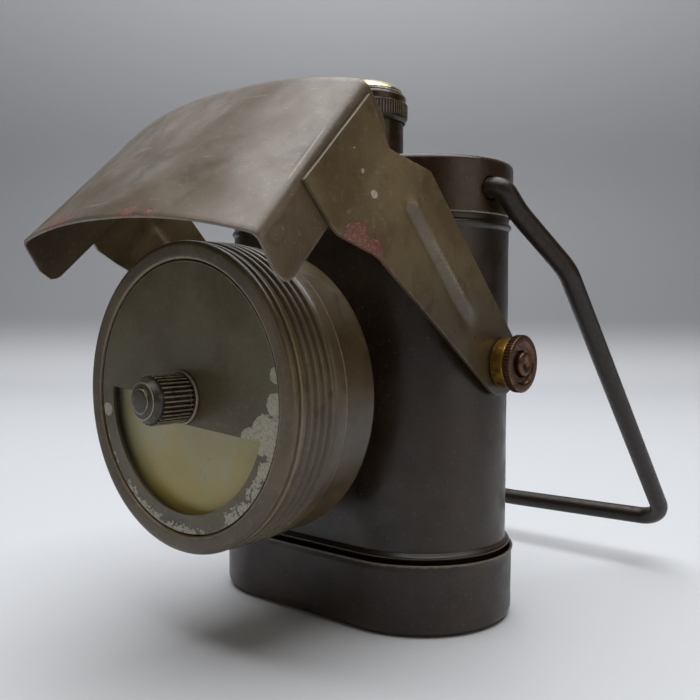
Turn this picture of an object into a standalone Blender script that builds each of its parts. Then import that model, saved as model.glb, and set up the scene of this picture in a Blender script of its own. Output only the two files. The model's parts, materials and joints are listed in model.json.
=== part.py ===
"""A hand-held carbide lamp with a tilting hood, a rotating shutter and a bail handle.

The lamp stands on the flat underside of its base pan, which is z = 0. The long axis of the
body is X, the lens looks along -Y and +Z is up. Every length below is in millimetres.
"""
import math

import bmesh
import bpy
from mathutils import Matrix, Vector

MM = 0.001

# Clearances
JOINT_GAP = 0.3            # between pieces that touch or are soldered together
SLIDE_GAP = 0.4            # around a thread or a sliding fit
SWING_GAP = 0.6            # between the handle and what it swings past

# Body: a tube whose plan is two half circles joined by straight sides
BODY_HALF_STRAIGHT = 21.2
BODY_RADIUS = 26.3
BODY_WALL = 0.8
BODY_BEAD = 0.7            # how far the upper rolled bead stands out
FOOT_BEAD = 1.3            # the lower one, which sits on the rim of the pan
BEAD_HEIGHT = 2.4

# Base pan
PAN_HEIGHT = 20.5
PAN_WALL = 0.8
PAN_FIT = 1.1              # space between the body and the pan's wall
PAN_LIP = 0.5              # flare of the pan's rim
PAN_CORNER = 3.0
GASKET_THICKNESS = 2.0

# Top cap and turret
CAP_HEIGHT = 15.5
CAP_TOP = 132.0
LENS_LEVEL = CAP_TOP / 2 + 1.4     # height of the lens axis, midway between the two beads
CAP_WALL = 0.8
CAP_CORNER = 1.6
CAP_OVERLAP = 2.5          # how far the cap's skirt covers the body
NECK_RADIUS = 11.9
NECK_WALL = 1.0
NECK_TOP = CAP_TOP + 18.0
REGULATOR_WALL = 0.9
REGULATOR_BOTTOM = CAP_TOP + 15.4
REGULATOR_TOP = CAP_TOP + 24.0
REGULATOR_STEP = 0.6
DOME_HEIGHT = 4.5

# Generator inside the body
POT_RADIUS = BODY_RADIUS - 2.9
POT_WALL = 0.6
POT_HEIGHT = LENS_LEVEL - 22.4
GRID_LEVEL = POT_HEIGHT - 8.0
GRID_THICKNESS = 0.8
FELT_THICKNESS = 3.0
SPRING_RADIUS = 6.5
SPRING_WIRE = 0.6
SPRING_TURNS = 4
FLOOR_LEVEL = LENS_LEVEL - 8.4
FLOOR_THICKNESS = 1.0
DRIP_RADIUS = 2.2
DRIP_BORE = 1.1
DRIP_BOTTOM = GRID_LEVEL - 7.0
DRIP_TOP = FLOOR_LEVEL + 7.0
SPINDLE_RADIUS = 1.5
SPINDLE_TIP = 3.0
GUIDE_LEVEL = CAP_TOP + 9.0

# Lens drum; distances forward are measured from the body's middle plane towards -Y
BEZEL_RADIUS = 40.0
BEZEL_OPENING = 35.2
BEZEL_FRONT = BODY_RADIUS + 46.7
BEZEL_REAR = BODY_RADIUS + 27.2
BEZEL_LIP = 1.2
RIDGE_FIRST = BEZEL_REAR + 5.5
RIDGE_PITCH = 2.5
RIDGE_COUNT = 4
RIDGE_DEPTH = 0.7
TUBE_RADIUS = 37.8
DRUM_WALL = 0.8
DRUM_RADIUS = 38.8
DRUM_REAR = BODY_RADIUS + 14.9
DRUM_CORNER = 2.0
NECK_TUBE_RADIUS = 21.0
NECK_TUBE_FLANGE = 3.0
BACK_CONE_END = BODY_RADIUS + 4.7
VENT_COUNT = 6
VENT_RADIUS = 2.2
VENT_CIRCLE = 29.0

# Front of the lamp
SHUTTER_FRONT = BEZEL_FRONT - 0.7
SHUTTER_THICKNESS = 0.8
SHUTTER_GAP = 0.5
WINDOW_RADIUS = 30.0
WINDOW_HUB = 7.0
WINDOW_LEFT_DEG = 178.0
WINDOW_RIGHT_DEG = 343.5
MASK_THICKNESS = 0.8
GLASS_THICKNESS = 2.0
SEAL_THICKNESS = 0.8
SEAL_WIDTH = 2.6
KNOB_RADIUS = 6.4
KNOB_LENGTH = 11.2
KNOB_BEVEL = 1.8
KNOB_BOSS_RADIUS = 3.2
KNOB_BOSS_HEIGHT = 0.8
KNOB_RAISE = 0.4
COLLAR_RADIUS = 6.9
COLLAR_THICKNESS = 0.7
SHUTTER_SPINDLE_RADIUS = 1.6

# Burner, inside the drum
PIPE_RADIUS = 2.0
PIPE_DISTANCE = BODY_RADIUS - 6.3       # how far in front of the middle plane the gas pipe rises
PIPE_INLET = FLOOR_LEVEL - 7.0
BURNER_FORWARD = BODY_RADIUS + 23.7
BURNER_RADIUS = 3.6
TIP_HEIGHT = 9.0
REFLECTOR_RADIUS = 34.5
REFLECTOR_FRONT = BODY_RADIUS + 34.7
REFLECTOR_DEPTH = 17.5
REFLECTOR_HOLE = 4.6
REFLECTOR_WALL = 0.5

# Hood, measured from its pivot at the sides of the body
PIVOT_LEVEL = LENS_LEVEL + 7.9
HOOD_HALF_WIDTH = 45.5
HOOD_LENGTH = 51.0
HOOD_SLOPE_DEG = 45.0      # slope of the fold lines with the hood raised
HOOD_FRONT_EDGE_DEG = 123.0    # slope of the front edge, flange to arch
HOOD_REAR_EDGE_DEG = 132.0
HOOD_FRONT = (-89.8, 31.5)     # front end of a fold line: Y and Z from the pivot
HOOD_RISE = 5.8
HOOD_TWIST = 1.2           # the sheet is sprung: one fold dips in front, the other behind
HOOD_WALL = 0.8
HOOD_FLANGE = 14.5
HOOD_FOLD_RADIUS = 3.0
HOOD_CORNER = 5.0

# Hood arms
ARM_WALL = 1.0
ARM_END_RADIUS = 9.3
ARM_CORNER = 2.0
BEND_INNER = 71.0          # distance from the pivot to the two bend lines of the joggle
BEND_OUTER = 59.5
RIB_HEIGHT = 1.1
RIB_WIDTH = 5.0

# Pivot hardware
PAD_RADIUS = 7.0
PAD_THICKNESS = 0.9
STUD_RADIUS = 3.3
STUD_HEAD_RADIUS = 5.0
STUD_HEAD = 1.2
PIVOT_COLLAR_RADIUS = 7.0
PIVOT_COLLAR_LENGTH = 4.0
NUT_RADIUS = 8.0
NUT_LENGTH = 2.4
NUT_RECESS = 0.7
STUD_PROUD = 0.9

# Bail handle
HANDLE_LEVEL = CAP_TOP - 8.5
HANDLE_FORWARD = 4.0       # its two holes lie a little forward, nearer the heavy drum
HANDLE_ROD = 6.0           # diameter
HANDLE_LENGTH = 144.0
HANDLE_DROP_DEG = 48.0     # how far below level it lies, leaning back
HANDLE_ELBOW = 3.6         # how far outside the cap the rod turns along the arm
HANDLE_KNEE = (5.2, 9.0)   # outside the cap and along the arm, where the crank starts
HANDLE_CRANK = 30.0        # along the arm, where the outward crank ends
HANDLE_BEND = 9.0
HANDLE_BOW = 1.5           # how far the grip is bowed outwards

RING_STEPS = 32            # segments round the lens and the turret
END_STEPS = 12             # segments round each end of the body
SMALL_STEPS = 16


# ---------------------------------------------------------------- helpers

def material(name, colour, roughness, metallic):
    mat = bpy.data.materials.new(name)
    mat.use_nodes = True
    shader = mat.node_tree.nodes["Principled BSDF"]
    shader.inputs["Base Color"].default_value = (*colour, 1.0)
    shader.inputs["Roughness"].default_value = roughness
    shader.inputs["Metallic"].default_value = metallic
    mat.diffuse_color = (*colour, 1.0)
    return mat


def add_object(name, mesh, mat, location=(0, 0, 0), rotation=(0, 0, 0), parent=None):
    obj = bpy.data.objects.new(name, mesh)
    obj.location = [value * MM for value in location]
    obj.rotation_euler = rotation
    obj.parent = parent
    if not mesh.materials:
        mesh.materials.append(mat)
    PARTS.objects.link(obj)
    return obj


def closed_mesh(bm, name, scale=MM):
    """Merges doubles, points the faces outwards and shades the round surfaces smooth."""
    bmesh.ops.remove_doubles(bm, verts=bm.verts, dist=1e-4)
    bmesh.ops.dissolve_degenerate(bm, edges=bm.edges, dist=1e-5)
    bmesh.ops.recalc_face_normals(bm, faces=bm.faces)
    bmesh.ops.scale(bm, vec=(scale, scale, scale), verts=bm.verts)
    mesh = bpy.data.meshes.new(name)
    bm.to_mesh(mesh)
    bm.free()
    mesh.shade_smooth()
    mesh.set_sharp_from_angle(angle=math.radians(32))
    return mesh


def profile_edges(bm, profile, closed, x=0.0):
    """Draws (radius, height) points as an edge chain that starts on the -Y side of x."""
    verts = [bm.verts.new((x, -radius, height)) for radius, height in profile]
    pairs = list(zip(verts, verts[1:]))
    if closed:
        pairs.append((verts[-1], verts[0]))
    return [bm.edges.new(pair) for pair in pairs]


def sweep_turn(bm, edges, centre, angle, steps):
    """Spins an edge chain about a vertical axis and returns the chain at the far end."""
    verts = list({vert for edge in edges for vert in edge.verts})
    result = bmesh.ops.spin(bm, geom=verts + edges, cent=centre, axis=(0, 0, 1),
                            angle=angle, steps=steps, use_duplicate=False)
    return [item for item in result["geom_last"] if isinstance(item, bmesh.types.BMEdge)]


def sweep_line(bm, edges, offset):
    """Extrudes an edge chain along a straight line and returns the moved chain."""
    geom = bmesh.ops.extrude_edge_only(bm, edges=edges)["geom"]
    verts = [item for item in geom if isinstance(item, bmesh.types.BMVert)]
    bmesh.ops.translate(bm, vec=offset, verts=verts)
    return [item for item in geom if isinstance(item, bmesh.types.BMEdge)]


def turned_mesh(name, profile, closed=True, steps=RING_STEPS):
    """A round piece about Z; an open profile starts and ends on the axis."""
    bm = bmesh.new()
    sweep_turn(bm, profile_edges(bm, profile, closed), (0, 0, 0), math.tau, steps)
    return closed_mesh(bm, name)


def oval_mesh(name, profile, closed=True, steps=END_STEPS):
    """A piece with the body's plan: two turned ends joined by straight sides."""
    half = BODY_HALF_STRAIGHT
    bm = bmesh.new()
    edges = profile_edges(bm, profile, closed, x=half)
    edges = sweep_turn(bm, edges, (half, 0, 0), math.pi, steps)
    edges = sweep_line(bm, edges, (-2 * half, 0, 0))
    edges = sweep_turn(bm, edges, (-half, 0, 0), math.pi, steps)
    sweep_line(bm, edges, (2 * half, 0, 0))
    return closed_mesh(bm, name)


def arc(centre, radius, start_deg, end_deg, steps):
    """Points of an arc in a plane, ends included."""
    points = []
    for step in range(steps + 1):
        angle = math.radians(start_deg + (end_deg - start_deg) * step / steps)
        points.append((centre[0] + radius * math.cos(angle),
                       centre[1] + radius * math.sin(angle)))
    return points


def bead(radius, centre, height, proud, steps=3):
    """Profile points of a half-round bead that stands out from a wall, bottom to top."""
    points = []
    for step in range(steps + 1):
        angle = math.pi * (step / steps - 0.5)
        points.append((radius + proud * math.cos(angle), centre + height / 2 * math.sin(angle)))
    return points


def cylinder_cutter(name, radius, start, end, steps=SMALL_STEPS):
    """A cylinder between two points, kept out of the build and used only to cut."""
    start, end = Vector(start), Vector(end)
    bm = bmesh.new()
    bmesh.ops.create_cone(bm, cap_ends=True, segments=steps, radius1=radius, radius2=radius,
                          depth=(end - start).length)
    turn = Vector((0, 0, 1)).rotation_difference(end - start).to_matrix().to_4x4()
    bmesh.ops.transform(bm, matrix=Matrix.Translation((start + end) / 2) @ turn, verts=bm.verts)
    return cutter(name, closed_mesh(bm, name))


def cutter(name, mesh):
    obj = bpy.data.objects.new(name, mesh)
    obj.hide_render = True
    obj.display_type = "WIRE"
    CUTTERS.objects.link(obj)
    return obj


def boolean(obj, tool, operation="DIFFERENCE"):
    modifier = obj.modifiers.new(tool.name, "BOOLEAN")
    modifier.object = tool
    modifier.operation = operation
    modifier.solver = "EXACT"


def prism_mesh(name, outline, low, high):
    """Extrudes an outline of (x, y) points from z = low to z = high."""
    bm = bmesh.new()
    face = bm.faces.new([bm.verts.new((x, y, low)) for x, y in outline])
    geom = bmesh.ops.extrude_face_region(bm, geom=[face])["geom"]
    verts = [item for item in geom if isinstance(item, bmesh.types.BMVert)]
    bmesh.ops.translate(bm, vec=(0, 0, high - low), verts=verts)
    return closed_mesh(bm, name)


def arc_direction(start, end, angle):
    """The unit vector that lies an angle from start on the way to end."""
    first = start.normalized()
    second = (end - first * end.dot(first)).normalized()
    return first * math.cos(angle) + second * math.sin(angle)


def rounded_corner(before, corner, after, radius, steps=4):
    """The points that round one corner of an outline with an arc."""
    corner, before, after = Vector(corner), Vector(before), Vector(after)
    to_before = (before - corner).normalized()
    to_after = (after - corner).normalized()
    half_angle = to_before.angle(to_after) / 2
    reach = radius / math.tan(half_angle)
    centre = corner + (to_before + to_after).normalized() * radius / math.sin(half_angle)
    start = corner + to_before * reach - centre
    end = corner + to_after * reach - centre
    points = []
    for step in range(steps + 1):
        turn = start.angle(end) * step / steps
        points.append(tuple(centre + arc_direction(start, end, turn) * radius))
    return points


def wire_mesh(name, points, radius, resolution=2, cyclic=False):
    """A round wire along points in millimetres, as a closed mesh."""
    curve = bpy.data.curves.new(name, "CURVE")
    curve.dimensions = "3D"
    curve.bevel_depth = radius * MM
    curve.bevel_resolution = resolution
    curve.use_fill_caps = True
    spline = curve.splines.new("POLY")
    spline.points.add(len(points) - 1)
    for point, place in zip(spline.points, points):
        point.co = (*(value * MM for value in place), 1.0)
    spline.use_cyclic_u = cyclic
    source = bpy.data.objects.new(name + "_path", curve)
    CUTTERS.objects.link(source)
    bpy.context.view_layer.update()
    evaluated = source.evaluated_get(bpy.context.evaluated_depsgraph_get())
    mesh = bpy.data.meshes.new_from_object(evaluated)
    bpy.data.objects.remove(source)
    bpy.data.curves.remove(curve)
    bm = bmesh.new()
    bm.from_mesh(mesh)
    bpy.data.meshes.remove(mesh)
    return closed_mesh_in_metres(bm, name)


def closed_mesh_in_metres(bm, name):
    bmesh.ops.remove_doubles(bm, verts=bm.verts, dist=1e-7)
    bmesh.ops.recalc_face_normals(bm, faces=bm.faces)
    mesh = bpy.data.meshes.new(name)
    bm.to_mesh(mesh)
    bm.free()
    mesh.shade_smooth()
    mesh.set_sharp_from_angle(angle=math.radians(40))
    return mesh


# ---------------------------------------------------------------- generator

def build_base(mats):
    """The pan that the lamp stands on, with the seal that the body presses on."""
    inner = BODY_RADIUS + PAN_FIT
    outer = inner + PAN_WALL
    flare = PAN_HEIGHT - 2.0
    corner = arc((outer - PAN_CORNER, PAN_CORNER), PAN_CORNER, -90, 0, 5)
    inner_corner = arc((inner - PAN_CORNER + PAN_WALL, PAN_CORNER), PAN_CORNER - PAN_WALL,
                       0, -90, 4)
    profile = [(0, 0), *corner, (outer, flare), (outer + PAN_LIP, PAN_HEIGHT),
               (inner + PAN_LIP, PAN_HEIGHT), (inner, flare), *inner_corner, (0, PAN_WALL)]
    add_object("base_pan", oval_mesh("base_pan", profile, closed=False), mats["paint"])
    bottom = PAN_WALL + JOINT_GAP
    seal = [(BODY_RADIUS - 2.2, bottom), (BODY_RADIUS - 0.4, bottom),
            (BODY_RADIUS - 0.4, bottom + GASKET_THICKNESS),
            (BODY_RADIUS - 2.2, bottom + GASKET_THICKNESS)]
    add_object("base_gasket", oval_mesh("base_gasket", seal), mats["rubber"])


def build_pot(mats):
    """The carbide pot with its grid, felt and spring."""
    bottom = PAN_WALL + JOINT_GAP
    rim = POT_HEIGHT + bottom
    inner = POT_RADIUS - POT_WALL
    profile = [(0, bottom), (POT_RADIUS - 1.5, bottom), (POT_RADIUS, bottom + 1.5),
               (POT_RADIUS, rim), (inner, rim), (inner, bottom + 1.5),
               (inner - 1.0, bottom + POT_WALL), (0, bottom + POT_WALL)]
    add_object("carbide_pot", oval_mesh("carbide_pot", profile, closed=False), mats["zinc"])

    plate_radius = inner - JOINT_GAP
    plate = [(0, GRID_LEVEL), (plate_radius, GRID_LEVEL),
             (plate_radius, GRID_LEVEL + GRID_THICKNESS), (0, GRID_LEVEL + GRID_THICKNESS)]
    grid = add_object("carbide_grid", oval_mesh("carbide_grid", plate, closed=False), mats["zinc"])
    hole_rows = [(x, y) for x in (-28, -14, 14, 28) for y in (-9, 9)]
    for index, (x, y) in enumerate(hole_rows):
        tool = cylinder_cutter(f"grid_hole_{index}", 2.2, (x, y, GRID_LEVEL - 2),
                               (x, y, GRID_LEVEL + GRID_THICKNESS + 2), 8)
        boolean(grid, tool)
    low = GRID_LEVEL + GRID_THICKNESS + JOINT_GAP
    felt = [(0, low), (plate_radius, low), (plate_radius, low + FELT_THICKNESS),
            (0, low + FELT_THICKNESS)]
    pad = add_object("felt_filter", oval_mesh("felt_filter", felt, closed=False), mats["felt"])
    drip_way = DRIP_RADIUS + SLIDE_GAP
    tool = cylinder_cutter("drip_hole", drip_way, (0, 0, GRID_LEVEL - 5),
                           (0, 0, low + FELT_THICKNESS + 5))
    boolean(grid, tool)
    boolean(pad, tool)

    start = low + FELT_THICKNESS + JOINT_GAP + SPRING_WIRE
    end = FLOOR_LEVEL - JOINT_GAP - SPRING_WIRE
    points = []
    per_turn = 10
    for step in range(SPRING_TURNS * per_turn + 1):
        angle = math.tau * step / per_turn
        height = start + (end - start) * step / (SPRING_TURNS * per_turn)
        points.append((SPRING_RADIUS * math.cos(angle), SPRING_RADIUS * math.sin(angle), height))
    add_object("grid_spring", wire_mesh("grid_spring", points, SPRING_WIRE, 0), mats["steel"])


# ---------------------------------------------------------------- body

def front_hole_cutter(name, radius):
    """A hole through the body's front wall on the lens axis."""
    return cylinder_cutter(name, radius, (0, -BODY_RADIUS + 3, LENS_LEVEL),
                           (0, -BODY_RADIUS - 3, LENS_LEVEL))


def build_body(mats):
    """The outer tube of the lamp: water above the floor plate, gas below it."""
    outer, inner = BODY_RADIUS, BODY_RADIUS - BODY_WALL
    low = PAN_WALL + 2 * JOINT_GAP + GASKET_THICKNESS
    high = CAP_TOP - CAP_HEIGHT + CAP_OVERLAP
    lower_bead = PAN_HEIGHT + JOINT_GAP + BEAD_HEIGHT / 2
    upper_bead = CAP_TOP - CAP_HEIGHT - BEAD_HEIGHT * 1.1
    profile = [(outer, low), *bead(outer, lower_bead, BEAD_HEIGHT, FOOT_BEAD),
               *bead(outer, upper_bead, BEAD_HEIGHT, BODY_BEAD),
               (outer, high), (inner, high), (inner, low)]
    shell = add_object("body_shell", oval_mesh("body_shell", profile), mats["paint"])
    boolean(shell, front_hole_cutter("gas_pipe_hole", PIPE_RADIUS + JOINT_GAP))
    end = BODY_HALF_STRAIGHT + BODY_RADIUS
    for side, sign in SIDES:
        tool = cylinder_cutter(f"stud_hole_{side}", STUD_RADIUS + JOINT_GAP,
                               (sign * (end - 5), 0, PIVOT_LEVEL), (sign * (end + 3), 0, PIVOT_LEVEL))
        boolean(shell, tool)

    radius = inner - JOINT_GAP
    lid = [(NECK_RADIUS + JOINT_GAP, high - 2.0), (radius, high - 2.0), (radius, high - 1.0),
           (NECK_RADIUS + JOINT_GAP, high - 1.0)]
    tank_lid = [(0, high - 2.0), (radius, high - 2.0), (radius, high - 1.0), (0, high - 1.0)]
    plate = add_object("tank_lid", oval_mesh("tank_lid", tank_lid, closed=False), mats["zinc"])
    boolean(plate, cylinder_cutter("neck_hole_lid", lid[0][0], (0, 0, high - 6), (0, 0, high + 3),
                                   RING_STEPS))

    rim = FLOOR_LEVEL - 4.0
    top = FLOOR_LEVEL + FLOOR_THICKNESS
    floor = [(0, FLOOR_LEVEL), (radius - FLOOR_THICKNESS, FLOOR_LEVEL),
             (radius - FLOOR_THICKNESS, rim), (radius, rim), (radius, top), (0, top)]
    partition = add_object("tank_floor", oval_mesh("tank_floor", floor, closed=False), mats["zinc"])
    boolean(partition, cylinder_cutter("drip_seat_hole", DRIP_RADIUS + JOINT_GAP,
                                       (0, 0, rim), (0, 0, top + 3)))
    boolean(partition, cylinder_cutter("riser_hole", PIPE_RADIUS + JOINT_GAP,
                                       (0, -PIPE_DISTANCE, rim), (0, -PIPE_DISTANCE, top + 3)))


def build_top_cap(mats):
    """The painted cover over the tank, which also carries the handle's two ends."""
    inner = BODY_RADIUS + JOINT_GAP
    outer = inner + CAP_WALL
    low = CAP_TOP - CAP_HEIGHT
    rim = arc((outer - CAP_CORNER, CAP_TOP - CAP_CORNER), CAP_CORNER, 0, 90, 4)
    profile = [(0, CAP_TOP - CAP_WALL), (inner - 0.8, CAP_TOP - CAP_WALL),
               (inner, CAP_TOP - CAP_WALL - 0.8), (inner, low), (outer, low), *rim, (0, CAP_TOP)]
    cap = add_object("top_cap", oval_mesh("top_cap", profile, closed=False), mats["paint"])
    boolean(cap, cylinder_cutter("neck_hole_cap", NECK_RADIUS + JOINT_GAP,
                                 (0, 0, CAP_TOP - 4), (0, 0, CAP_TOP + 4), RING_STEPS))
    end = BODY_HALF_STRAIGHT + outer
    for side, sign in SIDES:
        tool = cylinder_cutter(f"handle_hole_{side}", HANDLE_ROD / 2 + SLIDE_GAP,
                               (sign * (end - 4), -HANDLE_FORWARD, HANDLE_LEVEL),
                               (sign * (end + 3), -HANDLE_FORWARD, HANDLE_LEVEL))
        boolean(cap, tool)


def build_water_valve(mats):
    """Drip tube, needle spindle, its guide, the filler neck and the regulator cap."""
    tube = [(DRIP_BORE, DRIP_BOTTOM), (DRIP_RADIUS, DRIP_BOTTOM), (DRIP_RADIUS, DRIP_TOP),
            (DRIP_BORE, DRIP_TOP)]
    add_object("drip_tube", turned_mesh("drip_tube", tube, steps=SMALL_STEPS), mats["brass"])

    low = CAP_TOP - CAP_HEIGHT + CAP_OVERLAP - 4.0
    neck = [(NECK_RADIUS - NECK_WALL, low), (NECK_RADIUS, low), (NECK_RADIUS, NECK_TOP),
            (NECK_RADIUS - NECK_WALL, NECK_TOP)]
    add_object("filler_neck", turned_mesh("filler_neck", neck), mats["paint"])

    span = NECK_RADIUS - NECK_WALL - JOINT_GAP
    bar = [(-span + 0.6, -3), (span - 0.6, -3), (span - 0.6, 3), (-span + 0.6, 3)]
    guide = add_object("spindle_guide", prism_mesh("spindle_guide", bar, GUIDE_LEVEL,
                                                   GUIDE_LEVEL + 2.5), mats["brass"])
    boolean(guide, cylinder_cutter("guide_hole", SPINDLE_RADIUS + SLIDE_GAP,
                                   (0, 0, GUIDE_LEVEL - 2), (0, 0, GUIDE_LEVEL + 5)))

    inside_top = REGULATOR_TOP - REGULATOR_WALL
    seat = DRIP_TOP + JOINT_GAP
    needle = [(0, seat), (0.5, seat), (SPINDLE_RADIUS, seat + SPINDLE_TIP),
              (SPINDLE_RADIUS, inside_top - JOINT_GAP), (0, inside_top - JOINT_GAP)]
    add_object("valve_spindle", turned_mesh("valve_spindle", needle, False, SMALL_STEPS),
               mats["brass"])

    inner = NECK_RADIUS + SLIDE_GAP
    outer = inner + REGULATOR_WALL
    waist = REGULATOR_TOP - 2.6
    cap = [(0, inside_top), (inner, inside_top), (inner, REGULATOR_BOTTOM),
           (outer - 0.8, REGULATOR_BOTTOM), (outer, REGULATOR_BOTTOM + 1.4), (outer, waist),
           (outer - REGULATOR_STEP, waist + 0.5), (outer - REGULATOR_STEP, REGULATOR_TOP - 0.5),
           (outer - REGULATOR_STEP - 0.5, REGULATOR_TOP), (0, REGULATOR_TOP)]
    add_object("regulator_cap", turned_mesh("regulator_cap", cap, False), mats["paint"])

    foot = REGULATOR_TOP + JOINT_GAP
    wide = outer - 1.6
    dome = [(0, foot), (wide, foot), (wide, foot + 0.5)]
    for step in range(1, 4):
        share = step / 4
        dome.append((wide * (1 - share), foot + 0.5 + (DOME_HEIGHT - 0.8) * share ** 0.75))
    dome.append((0, foot + DOME_HEIGHT - JOINT_GAP))
    add_object("regulator_dome", turned_mesh("regulator_dome", dome, False, 24), mats["nickel"])


# ---------------------------------------------------------------- lens drum

LENS_TURN = (math.pi / 2, 0, 0)      # turns a piece made about Z to face -Y
LENS_PLACE = (0, 0, LENS_LEVEL)


def front_stack():
    """How far forward each piece behind the shutter begins, from the front to the back."""
    stack = {"shutter_back": SHUTTER_FRONT - SHUTTER_THICKNESS}
    stack["mask_front"] = stack["shutter_back"] - SHUTTER_GAP
    stack["mask_back"] = stack["mask_front"] - MASK_THICKNESS
    stack["front_seal"] = stack["mask_back"] - JOINT_GAP
    stack["glass_front"] = stack["front_seal"] - SEAL_THICKNESS - JOINT_GAP
    stack["glass_back"] = stack["glass_front"] - GLASS_THICKNESS
    stack["rear_seal"] = stack["glass_back"] - JOINT_GAP
    stack["tube_front"] = stack["rear_seal"] - SEAL_THICKNESS - JOINT_GAP
    return stack


def build_drum(mats):
    """The lamp's light housing: a wide collar, a threaded tube and a coned back."""
    tube_in = TUBE_RADIUS - DRUM_WALL
    rear = arc((DRUM_RADIUS - DRUM_CORNER, DRUM_REAR + DRUM_CORNER), DRUM_CORNER, -90, 0, 4)
    step = BEZEL_REAR - JOINT_GAP
    hole = NECK_TUBE_RADIUS + JOINT_GAP
    back = BACK_CONE_END
    front = front_stack()["tube_front"]
    profile = [(hole, back), *rear, (DRUM_RADIUS, step), (TUBE_RADIUS, step),
               (TUBE_RADIUS, front), (tube_in, front),
               (tube_in, DRUM_REAR + 1.6), (hole, back + 1.4)]
    drum = add_object("drum_shell", turned_mesh("drum_shell", profile), mats["paint"],
                      LENS_PLACE, LENS_TURN)
    for index in range(VENT_COUNT):
        angle = math.tau * (index + 0.5) / VENT_COUNT
        x = VENT_CIRCLE * math.cos(angle)
        z = LENS_LEVEL + VENT_CIRCLE * math.sin(angle)
        boolean(drum, cylinder_cutter(f"vent_{index}", VENT_RADIUS, (x, -BODY_RADIUS - 1, z),
                                      (x, -DRUM_REAR - 6, z), 8))

    foot = BODY_RADIUS + JOINT_GAP
    inner = NECK_TUBE_RADIUS - 1.0
    top = back + 4.0
    neck = [(inner, foot), (NECK_TUBE_RADIUS + NECK_TUBE_FLANGE, foot),
            (NECK_TUBE_RADIUS + NECK_TUBE_FLANGE, foot + 1.0), (NECK_TUBE_RADIUS, foot + 1.0),
            (NECK_TUBE_RADIUS, top), (inner, top)]
    add_object("drum_neck", turned_mesh("drum_neck", neck, steps=32), mats["paint"],
               LENS_PLACE, LENS_TURN)


def build_bezel(mats):
    """The screwed ring at the front, with four grip ridges behind its flange."""
    root = BEZEL_RADIUS - RIDGE_DEPTH
    thread = TUBE_RADIUS + SLIDE_GAP
    lip_back = BEZEL_FRONT - BEZEL_LIP
    profile = [(thread, BEZEL_REAR), (root, BEZEL_REAR)]
    for index in range(RIDGE_COUNT):
        middle = RIDGE_FIRST + RIDGE_PITCH * index
        profile += [(root, middle - 0.9), (BEZEL_RADIUS, middle - 0.4),
                    (BEZEL_RADIUS, middle + 0.4), (root, middle + 0.9)]
    flange = BEZEL_FRONT - 2.6
    profile += [(BEZEL_RADIUS - 0.3, flange - 1.5), (BEZEL_RADIUS - 0.3, flange - 0.6),
                (root - 0.2, flange - 0.3), (BEZEL_RADIUS - 0.4, flange)]
    profile += arc((BEZEL_RADIUS - 1.4, BEZEL_FRONT - 1.4), 1.4, 0, 90, 3)
    profile += [(BEZEL_OPENING, BEZEL_FRONT - 0.3), (BEZEL_OPENING, lip_back), (thread, lip_back)]
    add_object("bezel", turned_mesh("bezel", profile), mats["paint"], LENS_PLACE, LENS_TURN)


def half_window_outline(radius, hub, left_deg, right_deg, steps=18):
    """The light opening: an arc below, closed by two edges that meet a hub."""
    outline = arc((0, 0), radius, left_deg, right_deg, steps)
    outline += arc((0, 0), hub, right_deg - 60, left_deg + 2, 5)
    return outline


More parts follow.
